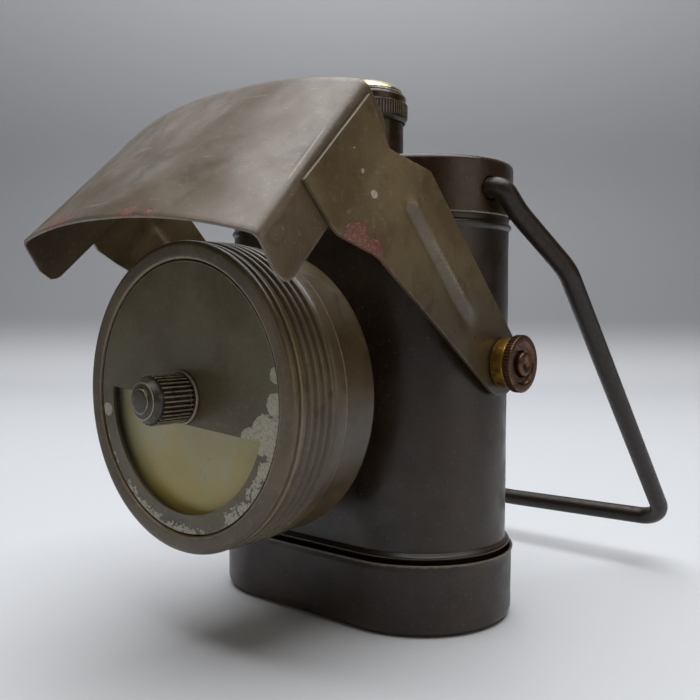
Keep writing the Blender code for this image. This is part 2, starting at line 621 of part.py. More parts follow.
def build_front(mats):
    """Glass with its seals, the fixed mask, and the shutter that turns in front of it."""
    thread = TUBE_RADIUS + SLIDE_GAP
    radius = thread - JOINT_GAP
    stack = front_stack()
    mask_back, mask_front = stack["mask_back"], stack["mask_front"]

    plate = [(0, mask_back), (radius, mask_back), (radius, mask_front), (0, mask_front)]
    mask = add_object("mask_plate", turned_mesh("mask_plate", plate, False), mats["paint"],
                      LENS_PLACE, LENS_TURN)
    disc = stack["shutter_back"]
    wide = BEZEL_OPENING - JOINT_GAP - 0.1
    cover = [(0, disc), (wide, disc), (wide, SHUTTER_FRONT - 0.2), (wide - 0.2, SHUTTER_FRONT),
             (0, SHUTTER_FRONT)]
    shutter = add_object("shutter_disc", turned_mesh("shutter_disc", cover, False), mats["paint"],
                         LENS_PLACE, LENS_TURN)
    for target, grow in ((mask, 0.6), (shutter, 0.0)):
        outline = half_window_outline(WINDOW_RADIUS + grow, WINDOW_HUB - grow,
                                      WINDOW_LEFT_DEG, WINDOW_RIGHT_DEG)
        tool = cutter(target.name + "_window", prism_mesh(target.name + "_window", outline,
                                                          mask_back - 3, SHUTTER_FRONT + 3))
        tool.location = [value * MM for value in LENS_PLACE]
        tool.rotation_euler = LENS_TURN
        boolean(target, tool)

    pin = SHUTTER_SPINDLE_RADIUS
    knob_base = SHUTTER_FRONT + COLLAR_THICKNESS + 2 * JOINT_GAP
    for target in (mask, shutter):
        boolean(target, cylinder_cutter(target.name + "_pin_hole", pin + JOINT_GAP,
                                        (0, -mask_back + 3, LENS_LEVEL),
                                        (0, -SHUTTER_FRONT - 3, LENS_LEVEL)))

    back, face = stack["glass_back"], stack["glass_front"]
    glass = [(0, back), (radius, back), (radius, face), (0, face)]
    add_object("lens_glass", turned_mesh("lens_glass", glass, False), mats["glass"],
               LENS_PLACE, LENS_TURN)
    for name, key in (("glass_seal_front", "front_seal"), ("glass_seal_rear", "rear_seal")):
        front = stack[key]
        ring = [(radius - SEAL_WIDTH, front - SEAL_THICKNESS), (radius, front - SEAL_THICKNESS),
                (radius, front), (radius - SEAL_WIDTH, front)]
        add_object(name, turned_mesh(name, ring), mats["rubber"], LENS_PLACE, LENS_TURN)

    washer = [(pin + JOINT_GAP, SHUTTER_FRONT + JOINT_GAP),
              (COLLAR_RADIUS, SHUTTER_FRONT + JOINT_GAP),
              (COLLAR_RADIUS, knob_base - JOINT_GAP), (pin + JOINT_GAP, knob_base - JOINT_GAP)]
    add_object("knob_collar", turned_mesh("knob_collar", washer, steps=24), mats["paint"],
               LENS_PLACE, LENS_TURN)
    tip = knob_base + KNOB_LENGTH
    bore_end = knob_base + KNOB_LENGTH * 0.6
    knob = [(0, bore_end), (pin + JOINT_GAP, bore_end), (pin + JOINT_GAP, knob_base),
            (KNOB_RADIUS, knob_base), (KNOB_RADIUS, tip - KNOB_BEVEL),
            (KNOB_RADIUS - KNOB_BEVEL, tip), (KNOB_BOSS_RADIUS, tip),
            (KNOB_BOSS_RADIUS - 0.4, tip + KNOB_BOSS_HEIGHT), (0, tip + KNOB_BOSS_HEIGHT)]
    add_object("shutter_knob", turned_mesh("shutter_knob", knob, False, 24), mats["knob"],
               LENS_PLACE, LENS_TURN)
    head = mask_back - 0.2
    spindle = [(0, head - 0.5), (pin * 2, head - 0.5), (pin * 2, head), (pin, head),
               (pin, bore_end - JOINT_GAP), (0, bore_end - JOINT_GAP)]
    add_object("shutter_spindle", turned_mesh("shutter_spindle", spindle, False, SMALL_STEPS),
               mats["steel"], LENS_PLACE, LENS_TURN)


def build_burner(mats):
    """The gas pipe from under the tank floor, the burner and the reflector behind it."""
    corner_radius = 5.0
    outer_corner = arc((PIPE_DISTANCE + corner_radius, LENS_LEVEL - corner_radius),
                       corner_radius, 180, 90, 5)
    end = BURNER_FORWARD - BURNER_RADIUS - JOINT_GAP
    route = [(PIPE_DISTANCE, PIPE_INLET), *outer_corner, (end, LENS_LEVEL)]
    points = [(0, -forward, height) for forward, height in route]
    add_object("gas_pipe", wire_mesh("gas_pipe", points, PIPE_RADIUS, 2), mats["brass"])

    holder = [(0, -5), (BURNER_RADIUS, -5), (BURNER_RADIUS, 4), (BURNER_RADIUS - 1.2, 6), (0, 6)]
    add_object("burner_holder", turned_mesh("burner_holder", holder, False, SMALL_STEPS),
               mats["brass"], (0, -BURNER_FORWARD, LENS_LEVEL))
    bm = bmesh.new()
    low = 6 + JOINT_GAP
    sweep_turn(bm, profile_edges(bm, [(0, low), (2.2, low), (2.0, low + 3), (0, low + 3)], False),
               (0, 0, 0), math.tau, 12)
    stem = closed_mesh(bm, "burner_tip")
    tip = add_object("burner_tip", stem, mats["steatite"], (0, -BURNER_FORWARD, LENS_LEVEL))
    for side, sign in SIDES:
        reach = TIP_HEIGHT * 0.5
        tool = cylinder_cutter(f"jet_{side}", 1.2,
                               (sign * 0.6, -BURNER_FORWARD, LENS_LEVEL + low + 1.5),
                               (sign * (0.6 + reach), -BURNER_FORWARD,
                                LENS_LEVEL + low + TIP_HEIGHT - 1.5), 10)
        boolean(tip, tool, "UNION")

    outer, inner = [], []
    for step in range(6):
        share = step / 5
        radius = REFLECTOR_HOLE + (REFLECTOR_RADIUS - REFLECTOR_HOLE) * share
        depth = REFLECTOR_DEPTH * (radius / REFLECTOR_RADIUS) ** 2
        base = REFLECTOR_FRONT - REFLECTOR_DEPTH + depth
        outer.append((radius, base))
        inner.append((radius, base + REFLECTOR_WALL + 0.4 * share))
    add_object("reflector", turned_mesh("reflector", outer + inner[::-1]), mats["nickel"],
               LENS_PLACE, LENS_TURN)


# ---------------------------------------------------------------- hood

def slope(degrees):
    """A unit direction in the side view, as (Y, Z)."""
    return Vector((math.cos(math.radians(degrees)), math.sin(math.radians(degrees))))


def build_hood(mats, pivot):
    """An arched sheet with a flange folded down along each side."""
    along = slope(HOOD_SLOPE_DEG)
    front = Vector(HOOD_FRONT)
    section = [(-HOOD_HALF_WIDTH, -HOOD_FLANGE)]
    steps = 16
    for step in range(steps + 1):
        share = 2 * step / steps - 1
        section.append((HOOD_HALF_WIDTH * share, HOOD_RISE * (1 - abs(share) ** 2.3)))
    section.append((HOOD_HALF_WIDTH, -HOOD_FLANGE))

    bm = bmesh.new()
    rows = []
    ends = ((0.0, HOOD_FRONT_EDGE_DEG, -HOOD_TWIST), (HOOD_LENGTH, HOOD_REAR_EDGE_DEG, HOOD_TWIST))
    for distance, edge_deg, twist in ends:
        row = []
        for x, height in section:
            raised = height + twist * x / HOOD_HALF_WIDTH
            place = front + along * distance + slope(edge_deg) * raised
            row.append(bm.verts.new((x, place.x, place.y)))
        rows.append(row)
    for index in range(len(section) - 1):
        bm.faces.new((rows[0][index], rows[0][index + 1], rows[1][index + 1], rows[1][index]))
    folds = [edge for edge in bm.edges
             if all(vert in (rows[0][1], rows[1][1]) for vert in edge.verts)
             or all(vert in (rows[0][-2], rows[1][-2]) for vert in edge.verts)]
    corners = [rows[0][0], rows[1][0], rows[0][-1], rows[1][-1]]
    bmesh.ops.bevel(bm, geom=corners, offset=HOOD_CORNER, segments=4, profile=0.5,
                    affect="VERTICES", clamp_overlap=True)
    bmesh.ops.bevel(bm, geom=folds, offset=HOOD_FOLD_RADIUS, segments=4, profile=0.5,
                    affect="EDGES", clamp_overlap=True)
    thicken(bm, HOOD_WALL)
    add_object("hood", closed_mesh(bm, "hood"), mats["paint"], parent=pivot)


def thicken(bm, wall):
    """Gives an open sheet, whose faces point outwards, a wall on its inner side."""
    bmesh.ops.recalc_face_normals(bm, faces=bm.faces)
    centre = sum((face.calc_center_median() for face in bm.faces), Vector()) / len(bm.faces)
    lean = sum((face.calc_center_median() - centre).dot(face.normal) for face in bm.faces)
    if lean < 0:
        bmesh.ops.reverse_faces(bm, faces=bm.faces)
    bmesh.ops.solidify(bm, geom=bm.faces[:], thickness=wall)


def arm_outline():
    """The arm's side view as (Y, Z) from the pivot: a lapped plate and a tapering leg."""
    along, rear_edge = slope(HOOD_SLOPE_DEG), slope(HOOD_REAR_EDGE_DEG)
    fold = Vector(HOOD_FRONT)
    lap = fold + along * 17.5 - rear_edge * 1.6
    rear_top = fold + along * (HOOD_LENGTH - 2.4) - rear_edge * 1.4
    rear_low = rear_top - slope(HOOD_FRONT_EDGE_DEG) * 14.0
    bend_top = Vector((-34.5, 48.8))
    bend_low = Vector((-54.0, 26.4))
    front_low = lap + Vector((10.6, -11.2))
    outline = [tuple(lap), tuple(rear_top)]
    outline += rounded_corner(rear_top, rear_low, bend_top, 2.5, 3)
    outline += rounded_corner(rear_low, bend_top, (0, ARM_END_RADIUS), ARM_CORNER, 3)
    upper = math.degrees(math.atan2(bend_top.y, bend_top.x))
    lower = math.degrees(math.atan2(bend_low.y, bend_low.x))
    lead_upper = math.degrees(math.acos(ARM_END_RADIUS / bend_top.length))
    lead_lower = math.degrees(math.acos(ARM_END_RADIUS / bend_low.length))
    outline += arc((0, 0), ARM_END_RADIUS, upper - lead_upper, lower + lead_lower - 360, 10)
    outline += rounded_corner((-10, 0), bend_low, front_low, 6.0, 3)
    outline.append(tuple(front_low))
    return outline


def build_arm(name, sign, mats, pivot):
    """One hood arm: outside the body at the pivot, stepped inwards to lie on the hood."""
    inner_x = HOOD_HALF_WIDTH + JOINT_GAP
    outer_x = BODY_HALF_STRAIGHT + BODY_RADIUS + PAD_THICKNESS + 2 * JOINT_GAP
    normal = slope(HOOD_SLOPE_DEG + 90)
    bm = bmesh.new()
    bm.faces.new([bm.verts.new((0, y, z)) for y, z in arm_outline()])
    for distance in (BEND_INNER, BEND_OUTER):
        point = normal * distance
        bmesh.ops.bisect_plane(bm, geom=bm.verts[:] + bm.edges[:] + bm.faces[:],
                               plane_co=(0, point.x, point.y), plane_no=(0, normal.x, normal.y))
    for vert in bm.verts:
        distance = vert.co.y * normal.x + vert.co.z * normal.y
        share = (distance - BEND_OUTER) / (BEND_INNER - BEND_OUTER)
        share = min(max(share, 0.0), 1.0)
        vert.co.x = sign * (outer_x + (inner_x - outer_x) * share)
    geom = bmesh.ops.extrude_face_region(bm, geom=bm.faces[:])["geom"]
    moved = [item for item in geom if isinstance(item, bmesh.types.BMVert)]
    bmesh.ops.translate(bm, vec=(sign * ARM_WALL, 0, 0), verts=moved)
    arm = add_object(name, closed_mesh(bm, name), mats["paint"], parent=pivot)
    tool = cylinder_cutter(name + "_stud_hole", STUD_RADIUS + SLIDE_GAP,
                           (sign * (outer_x - 3), 0, PIVOT_LEVEL),
                           (sign * (outer_x + 4), 0, PIVOT_LEVEL))
    boolean(arm, tool)
    boolean(arm, rib_tool(name + "_rib", sign * (outer_x + ARM_WALL)), "UNION")


def rib_tool(name, face_x):
    """A long pressed rib that stands out from the arm's outer face."""
    start, end = Vector((face_x, -12.5, 12.0)), Vector((face_x, -38.5, 39.0))
    bm = bmesh.new()
    bmesh.ops.create_uvsphere(bm, u_segments=12, v_segments=8, radius=1.0)
    length = (end - start).length
    bmesh.ops.scale(bm, vec=(RIB_HEIGHT, RIB_WIDTH / 2, length / 2), verts=bm.verts)
    turn = Vector((0, 0, 1)).rotation_difference(end - start).to_matrix().to_4x4()
    place = Matrix.Translation((start + end) / 2 + Vector((0, 0, PIVOT_LEVEL)))
    bmesh.ops.transform(bm, matrix=place @ turn, verts=bm.verts)
    return cutter(name, closed_mesh(bm, name))


def build_pivot(side, sign, mats):
    """One side's pad, stud, collar and thumb nut, stacked outwards from the body."""
    turn = (0, sign * math.pi / 2, 0)
    place = (0, 0, PIVOT_LEVEL)
    wall = BODY_HALF_STRAIGHT + BODY_RADIUS
    pad_in = wall + JOINT_GAP
    arm_out = pad_in + PAD_THICKNESS + JOINT_GAP + ARM_WALL
    collar_in = arm_out + JOINT_GAP
    nut_in = collar_in + PIVOT_COLLAR_LENGTH + JOINT_GAP
    nut_out = nut_in + NUT_LENGTH
    bore = STUD_RADIUS + SLIDE_GAP

    pad = [(bore, pad_in), (PAD_RADIUS, pad_in), (PAD_RADIUS, pad_in + PAD_THICKNESS),
           (bore, pad_in + PAD_THICKNESS)]
    add_object(f"stud_pad_{side}", turned_mesh("stud_pad", pad, steps=24), mats["paint"],
               place, turn)
    head_out = wall - BODY_WALL - JOINT_GAP - 0.6
    tip = nut_out + STUD_PROUD
    stud = [(0, head_out - STUD_HEAD), (STUD_HEAD_RADIUS, head_out - STUD_HEAD),
            (STUD_HEAD_RADIUS, head_out), (STUD_RADIUS, head_out), (STUD_RADIUS, tip - 0.5),
            (STUD_RADIUS - 0.5, tip), (1.2, tip), (0, tip - 0.7)]
    add_object(f"pivot_stud_{side}", turned_mesh("pivot_stud", stud, False, SMALL_STEPS), mats["steel"],
               place, turn)
    collar = [(bore, collar_in), (PIVOT_COLLAR_RADIUS, collar_in),
              (PIVOT_COLLAR_RADIUS, collar_in + PIVOT_COLLAR_LENGTH),
              (bore, collar_in + PIVOT_COLLAR_LENGTH)]
    add_object(f"pivot_collar_{side}", turned_mesh("pivot_collar", collar, steps=24),
               mats["brass"], place, turn)
    nut = [(bore, nut_in), (NUT_RADIUS - 0.3, nut_in), (NUT_RADIUS, nut_in + 0.3),
           (NUT_RADIUS, nut_out - 0.3), (NUT_RADIUS - 0.3, nut_out), (NUT_RADIUS - 2.2, nut_out),
           (NUT_RADIUS - 2.6, nut_out - NUT_RECESS), (bore, nut_out - NUT_RECESS)]
    add_object(f"thumb_nut_{side}", turned_mesh("thumb_nut", nut, steps=24), mats["bronze"],
               place, turn)
    return tip


# ---------------------------------------------------------------- handle

def build_handle(mats, pivot, stud_tip):
    """A bail of round rod that is cranked outwards past the thumb nuts."""
    hole_x = BODY_HALF_STRAIGHT + BODY_RADIUS + JOINT_GAP + CAP_WALL
    arm_x = stud_tip + SWING_GAP + HANDLE_ROD / 2
    start = Vector((hole_x - 4.5, 0.0))
    elbow = Vector((hole_x + HANDLE_ELBOW, 0.0))
    knee = Vector((hole_x + HANDLE_KNEE[0], HANDLE_KNEE[1]))
    crank = Vector((arm_x, HANDLE_CRANK))
    corner = Vector((arm_x, HANDLE_LENGTH))
    grip = Vector((0.0, HANDLE_LENGTH))
    half = [start]
    half += rounded_corner(start, elbow, knee, 3.0, 4)
    half += rounded_corner(elbow, knee, crank, 25.0, 2)
    half += rounded_corner(knee, crank, corner, 18.0, 4)
    half += rounded_corner(crank, corner, grip, HANDLE_BEND, 6)
    for share in (0.35, 0.7):
        half.append(Vector((half[-1][0] * (1 - share), HANDLE_LENGTH + HANDLE_BOW * share)))
    route = [tuple(place) for place in half] + [(0.0, HANDLE_LENGTH + HANDLE_BOW)]
    route += [(-x, along) for x, along in reversed(route[:-1])]
    down = slope(-HANDLE_DROP_DEG)
    points = [(x, *(down * along)) for x, along in route]
    add_object("bail_handle", wire_mesh("bail_handle", points, HANDLE_ROD / 2, 3),
               mats["rod"], parent=pivot)


# ---------------------------------------------------------------- assembly

def clear_scene():
    for obj in list(bpy.data.objects):
        bpy.data.objects.remove(obj)


def make_collection(name):
    collection = bpy.data.collections.new(name)
    bpy.context.scene.collection.children.link(collection)
    return collection


def pivot_empty(name, forward, level):
    empty = bpy.data.objects.new(name, None)
    empty.location = (0, -forward * MM, level * MM)
    PARTS.objects.link(empty)
    return empty


def build_lamp():
    mats = {
        "paint": material("olive_brown_paint", (0.085, 0.076, 0.058), 0.45, 0.0),
        "rubber": material("black_rubber", (0.02, 0.02, 0.02), 0.8, 0.0),
        "zinc": material("galvanised_sheet", (0.45, 0.46, 0.46), 0.5, 0.9),
        "felt": material("grey_felt", (0.35, 0.33, 0.29), 0.95, 0.0),
        "steel": material("plain_steel", (0.25, 0.24, 0.22), 0.45, 0.9),
        "brass": material("aged_brass", (0.42, 0.31, 0.12), 0.45, 1.0),
        "bronze": material("dark_bronze", (0.17, 0.125, 0.09), 0.45, 1.0),
        "nickel": material("bright_nickel", (0.72, 0.68, 0.58), 0.25, 1.0),
        "glass": material("frosted_glass", (0.62, 0.62, 0.42), 0.35, 0.0),
        "knob": material("worn_knob", (0.16, 0.15, 0.12), 0.5, 0.4),
        "steatite": material("steatite", (0.75, 0.72, 0.64), 0.6, 0.0),
        "rod": material("dark_steel_rod", (0.12, 0.1, 0.09), 0.5, 0.6),
    }
    build_base(mats)
    build_pot(mats)
    build_body(mats)
    build_top_cap(mats)
    build_water_valve(mats)
    build_drum(mats)
    build_bezel(mats)
    build_front(mats)
    build_burner(mats)
    hood_pivot = pivot_empty("hood_pivot", 0.0, PIVOT_LEVEL)
    build_hood(mats, hood_pivot)
    stud_tip = 0.0
    for side, sign in SIDES:
        build_arm(f"hood_arm_{side}", sign, mats, hood_pivot)
        stud_tip = build_pivot(side, sign, mats)
    build_handle(mats, pivot_empty("handle_pivot", HANDLE_FORWARD, HANDLE_LEVEL), stud_tip)


SIDES = (("right", 1), ("left", -1))
clear_scene()
PARTS = make_collection("carbide_lamp")
CUTTERS = make_collection("cutters")
build_lamp()
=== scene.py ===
# %% [markdown]
# # A hand-held carbide lamp, painted olive brown and well worn
# The model comes in as a fixed frame: every solid is already in its place, in metres. The frame's
# meshes are coarse, because they were made for physics. So each piece that shows is built again
# here with smooth curves, rounded edges and small details, and the frame's own piece is hidden.
# Pieces that only show when the lamp is taken apart keep their shape and get a better finish.

# %% Load the frame
import json
import math

import bmesh
import bpy
from mathutils import Matrix, Vector, noise

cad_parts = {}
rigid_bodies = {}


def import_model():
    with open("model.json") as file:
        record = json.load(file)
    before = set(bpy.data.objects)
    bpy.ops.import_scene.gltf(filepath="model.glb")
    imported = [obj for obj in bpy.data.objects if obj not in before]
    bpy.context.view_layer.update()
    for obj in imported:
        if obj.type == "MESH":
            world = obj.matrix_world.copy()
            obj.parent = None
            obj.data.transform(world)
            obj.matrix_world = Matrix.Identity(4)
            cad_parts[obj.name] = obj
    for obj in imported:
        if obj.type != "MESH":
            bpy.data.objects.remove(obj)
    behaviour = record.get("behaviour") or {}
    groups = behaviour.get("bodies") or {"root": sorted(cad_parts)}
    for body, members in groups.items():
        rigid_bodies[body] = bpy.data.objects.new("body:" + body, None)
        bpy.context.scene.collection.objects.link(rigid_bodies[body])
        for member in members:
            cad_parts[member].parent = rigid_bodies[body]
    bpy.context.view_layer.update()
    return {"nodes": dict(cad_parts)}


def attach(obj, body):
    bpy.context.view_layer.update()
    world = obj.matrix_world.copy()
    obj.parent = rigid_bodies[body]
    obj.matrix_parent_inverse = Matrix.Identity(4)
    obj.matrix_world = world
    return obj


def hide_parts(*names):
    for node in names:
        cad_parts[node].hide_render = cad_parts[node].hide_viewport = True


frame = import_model()
MM = 0.001

# %% [markdown]
# ## Small tools
# Colours are written as the hex values of a paint chart. Blender mixes light in linear values, so
# one function turns them. Another one adds a shader node, sets it up and joins its inputs, so that
# a material reads like a list of steps.

# %% Colour and node tools
MATH, RAMP = "ShaderNodeMath", "ShaderNodeMapRange"
NOISE, MIX = "ShaderNodeTexNoise", "ShaderNodeMix"
USUAL = {RAMP: {"interpolation_type": "SMOOTHSTEP"}, MIX: {"data_type": "RGBA"}}


def srgb(text):
    """A hex colour as linear red, green, blue and alpha."""
    parts = [int(text[i:i + 2], 16) / 255 for i in (1, 3, 5)]
    return tuple(c / 12.92 if c <= 0.04045 else ((c + 0.055) / 1.055) ** 2.4
                 for c in parts) + (1.0,)


def add(tree, kind, inputs=(), out=0, **settings):
    """Adds a node, sets its properties, fills its inputs with values or other outputs, and
    gives one output, or the node itself if out is None."""
    made = tree.nodes.new(kind)
    for key, value in {**USUAL.get(kind, {}), **settings}.items():
        setattr(made, key, value)
    for key, value in (inputs.items() if isinstance(inputs, dict) else enumerate(inputs)):
        if isinstance(value, bpy.types.NodeSocket):
            tree.links.new(value, made.inputs[key])
        else:
            made.inputs[key].default_value = value
    return made if out is None else made.outputs[out]


def new_material(name):
    """An empty material and its tree."""
    mat = bpy.data.materials.new(name)
    mat.use_nodes = True
    mat.node_tree.nodes.clear()
    return mat, mat.node_tree


def surface(tree, channels):
    """The surface shader with its channels, joined to the material's output."""
    shader = add(tree, "ShaderNodeBsdfPrincipled", channels)
    add(tree, "ShaderNodeOutputMaterial", {"Surface": shader}, out=None)


def layered(tree, tone, layers):
    """Colours laid over a first one in turn, each by its share from 0 to 1."""
    for share, colour in layers:
        tone = add(tree, MIX, {0: share, 6: tone, 7: colour}, out=2)
    return tone


def patterns(tree, place, **wanted):
    """Noises by name, each (size of its blotches in millimetres, detail, roughness, distortion)."""
    return {name: add(tree, NOISE, {"Vector": place, "Scale": 1.0 / size, "Detail": detail,
                                    "Roughness": rough, "Distortion": distort})
            for name, (size, detail, rough, distort) in wanted.items()}


def millimetres(tree, stretch=(1, 1, 1), turn_deg=(0, 0, 0)):
    """The place on the object in millimetres, if need be turned and then stretched."""
    place = add(tree, "ShaderNodeTexCoord", out="Object")
    return add(tree, "ShaderNodeMapping", {"Vector": place, "Scale": [1000.0 / s for s in stretch],
                                           "Rotation": [math.radians(a) for a in turn_deg]})


print("tools are ready")

# %% [markdown]
# ## Paint on sheet metal
# The lamp is tinplate with one thin coat of olive-brown enamel. Age gave it four things, and each
# is one layer of nodes: slow changes of tone where it was handled and sooted, a fine mottle of dust
# and rubbing, edges worn lighter, and chips that lay bare either grey tin or a red primer. The
# "wear" attribute is painted into each mesh where an edge is sharp, so that wear follows the shape.

# %% Worn enamel
LENS_LEVEL = 67.4
DUST, SOOT, GREASE, SCRATCH, CHIP_EDGE = "#8a8272", "#1d1712", "#1f160d", "#a39c8d", "#2b251c"
TIN, TIN_SHADE, PRIMER, PRIMER_SHADE = "#a29d8c", "#8b8672", "#5c392f", "#7b5548"


def near_spots(tree, place, spots):
    """1 near any place in a list, each (x, y, z, radius) in millimetres, fading outwards."""
    total = 0.0
    for x, y, z, radius in spots:
        away = add(tree, "ShaderNodeVectorMath", (place, (x, y, z)), "Value", operation="DISTANCE")
        share = add(tree, RAMP, (away, radius * 0.35, radius * 1.25, 1.0, 0.0))
        total = add(tree, MATH, (total, share), operation="MAXIMUM")
    return total


def rim_flakes(tree, place, radius, from_deg, to_deg):
    """Flaking that grows towards a disc's rim, between two angles round the lens axis."""
    flat = add(tree, "ShaderNodeVectorMath", (place, (1, 0, 1), (0, 0, -LENS_LEVEL)),
               operation="MULTIPLY_ADD")
    away = add(tree, "ShaderNodeVectorMath", (flat,), "Value", operation="LENGTH")
    parts = add(tree, "ShaderNodeSeparateXYZ", (flat,), None).outputs
    turn = add(tree, MATH, (parts["Z"], parts["X"]), operation="ARCTAN2")
    low, high = math.radians(from_deg), math.radians(to_deg)
    within = add(tree, MATH, (add(tree, RAMP, (turn, low, low + 0.35)),
                              add(tree, RAMP, (turn, high - 0.35, high, 1.0, 0.0))),
                 operation="MULTIPLY")
    reach = add(tree, RAMP, (away, radius - 7.0, radius, 0.1, 0.62))
    return add(tree, MATH, (within, reach), operation="MULTIPLY")


def worn_enamel(name, base, shade, light, rough=0.38, wear_level=0.6, tin_spots=(),
                primer_spots=(), scratch=0.0, blotch_mm=26.0, coat=0.15, grime=0.5,
                flakes=(), wear_tone="#a0957f", grease=None):
    """Olive enamel with its tones, mottle, worn edges, chips and rub marks."""
    mat, tree = new_material(name)
    place = millimetres(tree)
    noises = patterns(tree, place, slow=(blotch_mm, 3.0, 0.55, 0.0), fine=(1.9, 6.0, 0.7, 0.0),
                      grit=(0.55, 2.0, 0.6, 0.0), stain=(9.0, 5.0, 0.65, 1.2),
                      polish=(7.0, 5.0, 0.6, 0.0), ragged=(1.6, 5.0, 0.7, 0.0),
                      jagged=(2.4, 6.0, 0.72, 0.5))
    layers = [(add(tree, RAMP, (noises["slow"], 0.38, 0.64)), srgb(shade)),
              (add(tree, RAMP, (noises["fine"], 0.52, 0.74, 0.0, 0.55)), srgb(light)),
              (add(tree, RAMP, (noises["grit"], 0.67, 0.76, 0.0, 0.5)), srgb(DUST))]
    if grease:
        level = add(tree, "ShaderNodeSeparateXYZ", (place,), "Z")
        level = add(tree, MATH, (noises["slow"], 18.0, level), operation="MULTIPLY_ADD")
        layers.append((add(tree, RAMP, (level, *grease, 0.62, 0.0)), srgb(GREASE)))
    layers.append((add(tree, RAMP, (noises["stain"], 0.56, 0.70, 0.0, grime)), srgb(SOOT)))
    if scratch:
        turned = millimetres(tree, (70.0, 0.8, 0.8), (0, 7, 16))
        line = patterns(tree, turned, line=(1.0, 2.0, 0.4, 0.5))["line"]
        layers.append((add(tree, RAMP, (line, 0.69, 0.74, 0.0, scratch)), srgb(SCRATCH)))
    worn = add(tree, "ShaderNodeAttribute", out="Fac", attribute_name="wear")
    ragged = add(tree, MATH, (noises["ragged"], 0.9, worn), operation="MULTIPLY_ADD")
    edge = add(tree, RAMP, (ragged, 1.10, 1.42, 0.0, wear_level))
    layers.append((edge, srgb(wear_tone)))
    gloss = add(tree, RAMP, (noises["polish"], 0.3, 0.75, rough - 0.07, rough + 0.10))
    gloss = add(tree, MATH, (edge, -0.08, gloss), operation="MULTIPLY_ADD")
    height = add(tree, MATH, (noises["fine"], 0.35), operation="MULTIPLY")

    for spots, rings, colour, dark in ((tin_spots, flakes, TIN, TIN_SHADE),
                                       (primer_spots, (), PRIMER, PRIMER_SHADE)):
        if not spots:
            continue
        bared = near_spots(tree, place, spots)
        for flake in rings:
            bared = add(tree, MATH, (bared, rim_flakes(tree, place, *flake)), operation="MAXIMUM")
        reach = add(tree, MATH, (bared, noises["jagged"]), operation="ADD")
        bare = add(tree, RAMP, (reach, 1.03, 1.06))
        spotted = layered(tree, srgb(colour),
                          [(add(tree, RAMP, (noises["grit"], 0.45, 0.62)), srgb(dark))])
        layers += [(add(tree, RAMP, (reach, 0.99, 1.02)), srgb(CHIP_EDGE)), (bare, spotted)]
        height = add(tree, MATH, (bare, -0.9, height), operation="MULTIPLY_ADD")
        gloss = add(tree, MATH, (bare, 0.12, gloss), operation="MULTIPLY_ADD")

    bump = add(tree, "ShaderNodeBump", {"Height": height, "Strength": 0.22, "Distance": 0.0004})
    surface(tree, {"Base Color": layered(tree, srgb(base), layers), "Roughness": gloss,
                   "Normal": bump, "IOR": 1.5, "Coat Weight": coat, "Coat Roughness": 0.3})
    return mat


# %% [markdown]
# ## Metals, glass and rubber
# The thumb nuts are bronze gone brown, the collars ochre brass, the little dome nickel rubbed
# through to a warm white. Metal keeps its default IOR; what tells one from another is colour and
# how rough it is. The glass is ground on one face, so it scatters light instead of showing what is
# behind it, and it has gone yellow-green with soot and age.

# %% Metals and the rest
def old_metal(name, bright, dark, rough, metallic=1.0, size_mm=3.0, speck=0.5,
              contrast=(0.4, 0.62)):
    """A metal whose polish and tarnish take turns in small patches."""
    mat, tree = new_material(name)
    noises = patterns(tree, millimetres(tree), patch=(size_mm, 6.0, 0.65, 0.4),
                      grain=(0.5, 3.0, 0.55, 0.0))
    patch = add(tree, RAMP, (noises["patch"], *contrast))
    worn = add(tree, "ShaderNodeAttribute", out="Fac", attribute_name="wear")
    tone = layered(tree, srgb(bright), [
        (patch, srgb(dark)),
        (add(tree, RAMP, (noises["grain"], 0.62, 0.75, 0.0, speck)), srgb("#15110d")),
        (add(tree, MATH, (worn, 0.55), operation="MULTIPLY"), srgb(bright))])
    bump = add(tree, "ShaderNodeBump", {"Height": patch, "Strength": 0.15, "Distance": 0.0003})
    gloss = add(tree, RAMP, (patch, 0.0, 1.0, rough, rough + 0.18))
    surface(tree, {"Base Color": tone, "Roughness": gloss, "Normal": bump, "Metallic": metallic})
    return mat


def plain_stuff(name, light, dark, rough, size_mm=1.2, relief=0.4):
    """Rubber, felt or fired clay: no shine, a fine uneven grain."""
    mat, tree = new_material(name)
    grain = patterns(tree, millimetres(tree), grain=(size_mm, 5.0, 0.7, 0.0))["grain"]
    tone = layered(tree, srgb(light), [(add(tree, RAMP, (grain, 0.35, 0.65)), srgb(dark))])
    bump = add(tree, "ShaderNodeBump", {"Height": grain, "Strength": relief, "Distance": 0.0004})
    surface(tree, {"Base Color": tone, "Normal": bump, "Roughness": rough})
    return mat


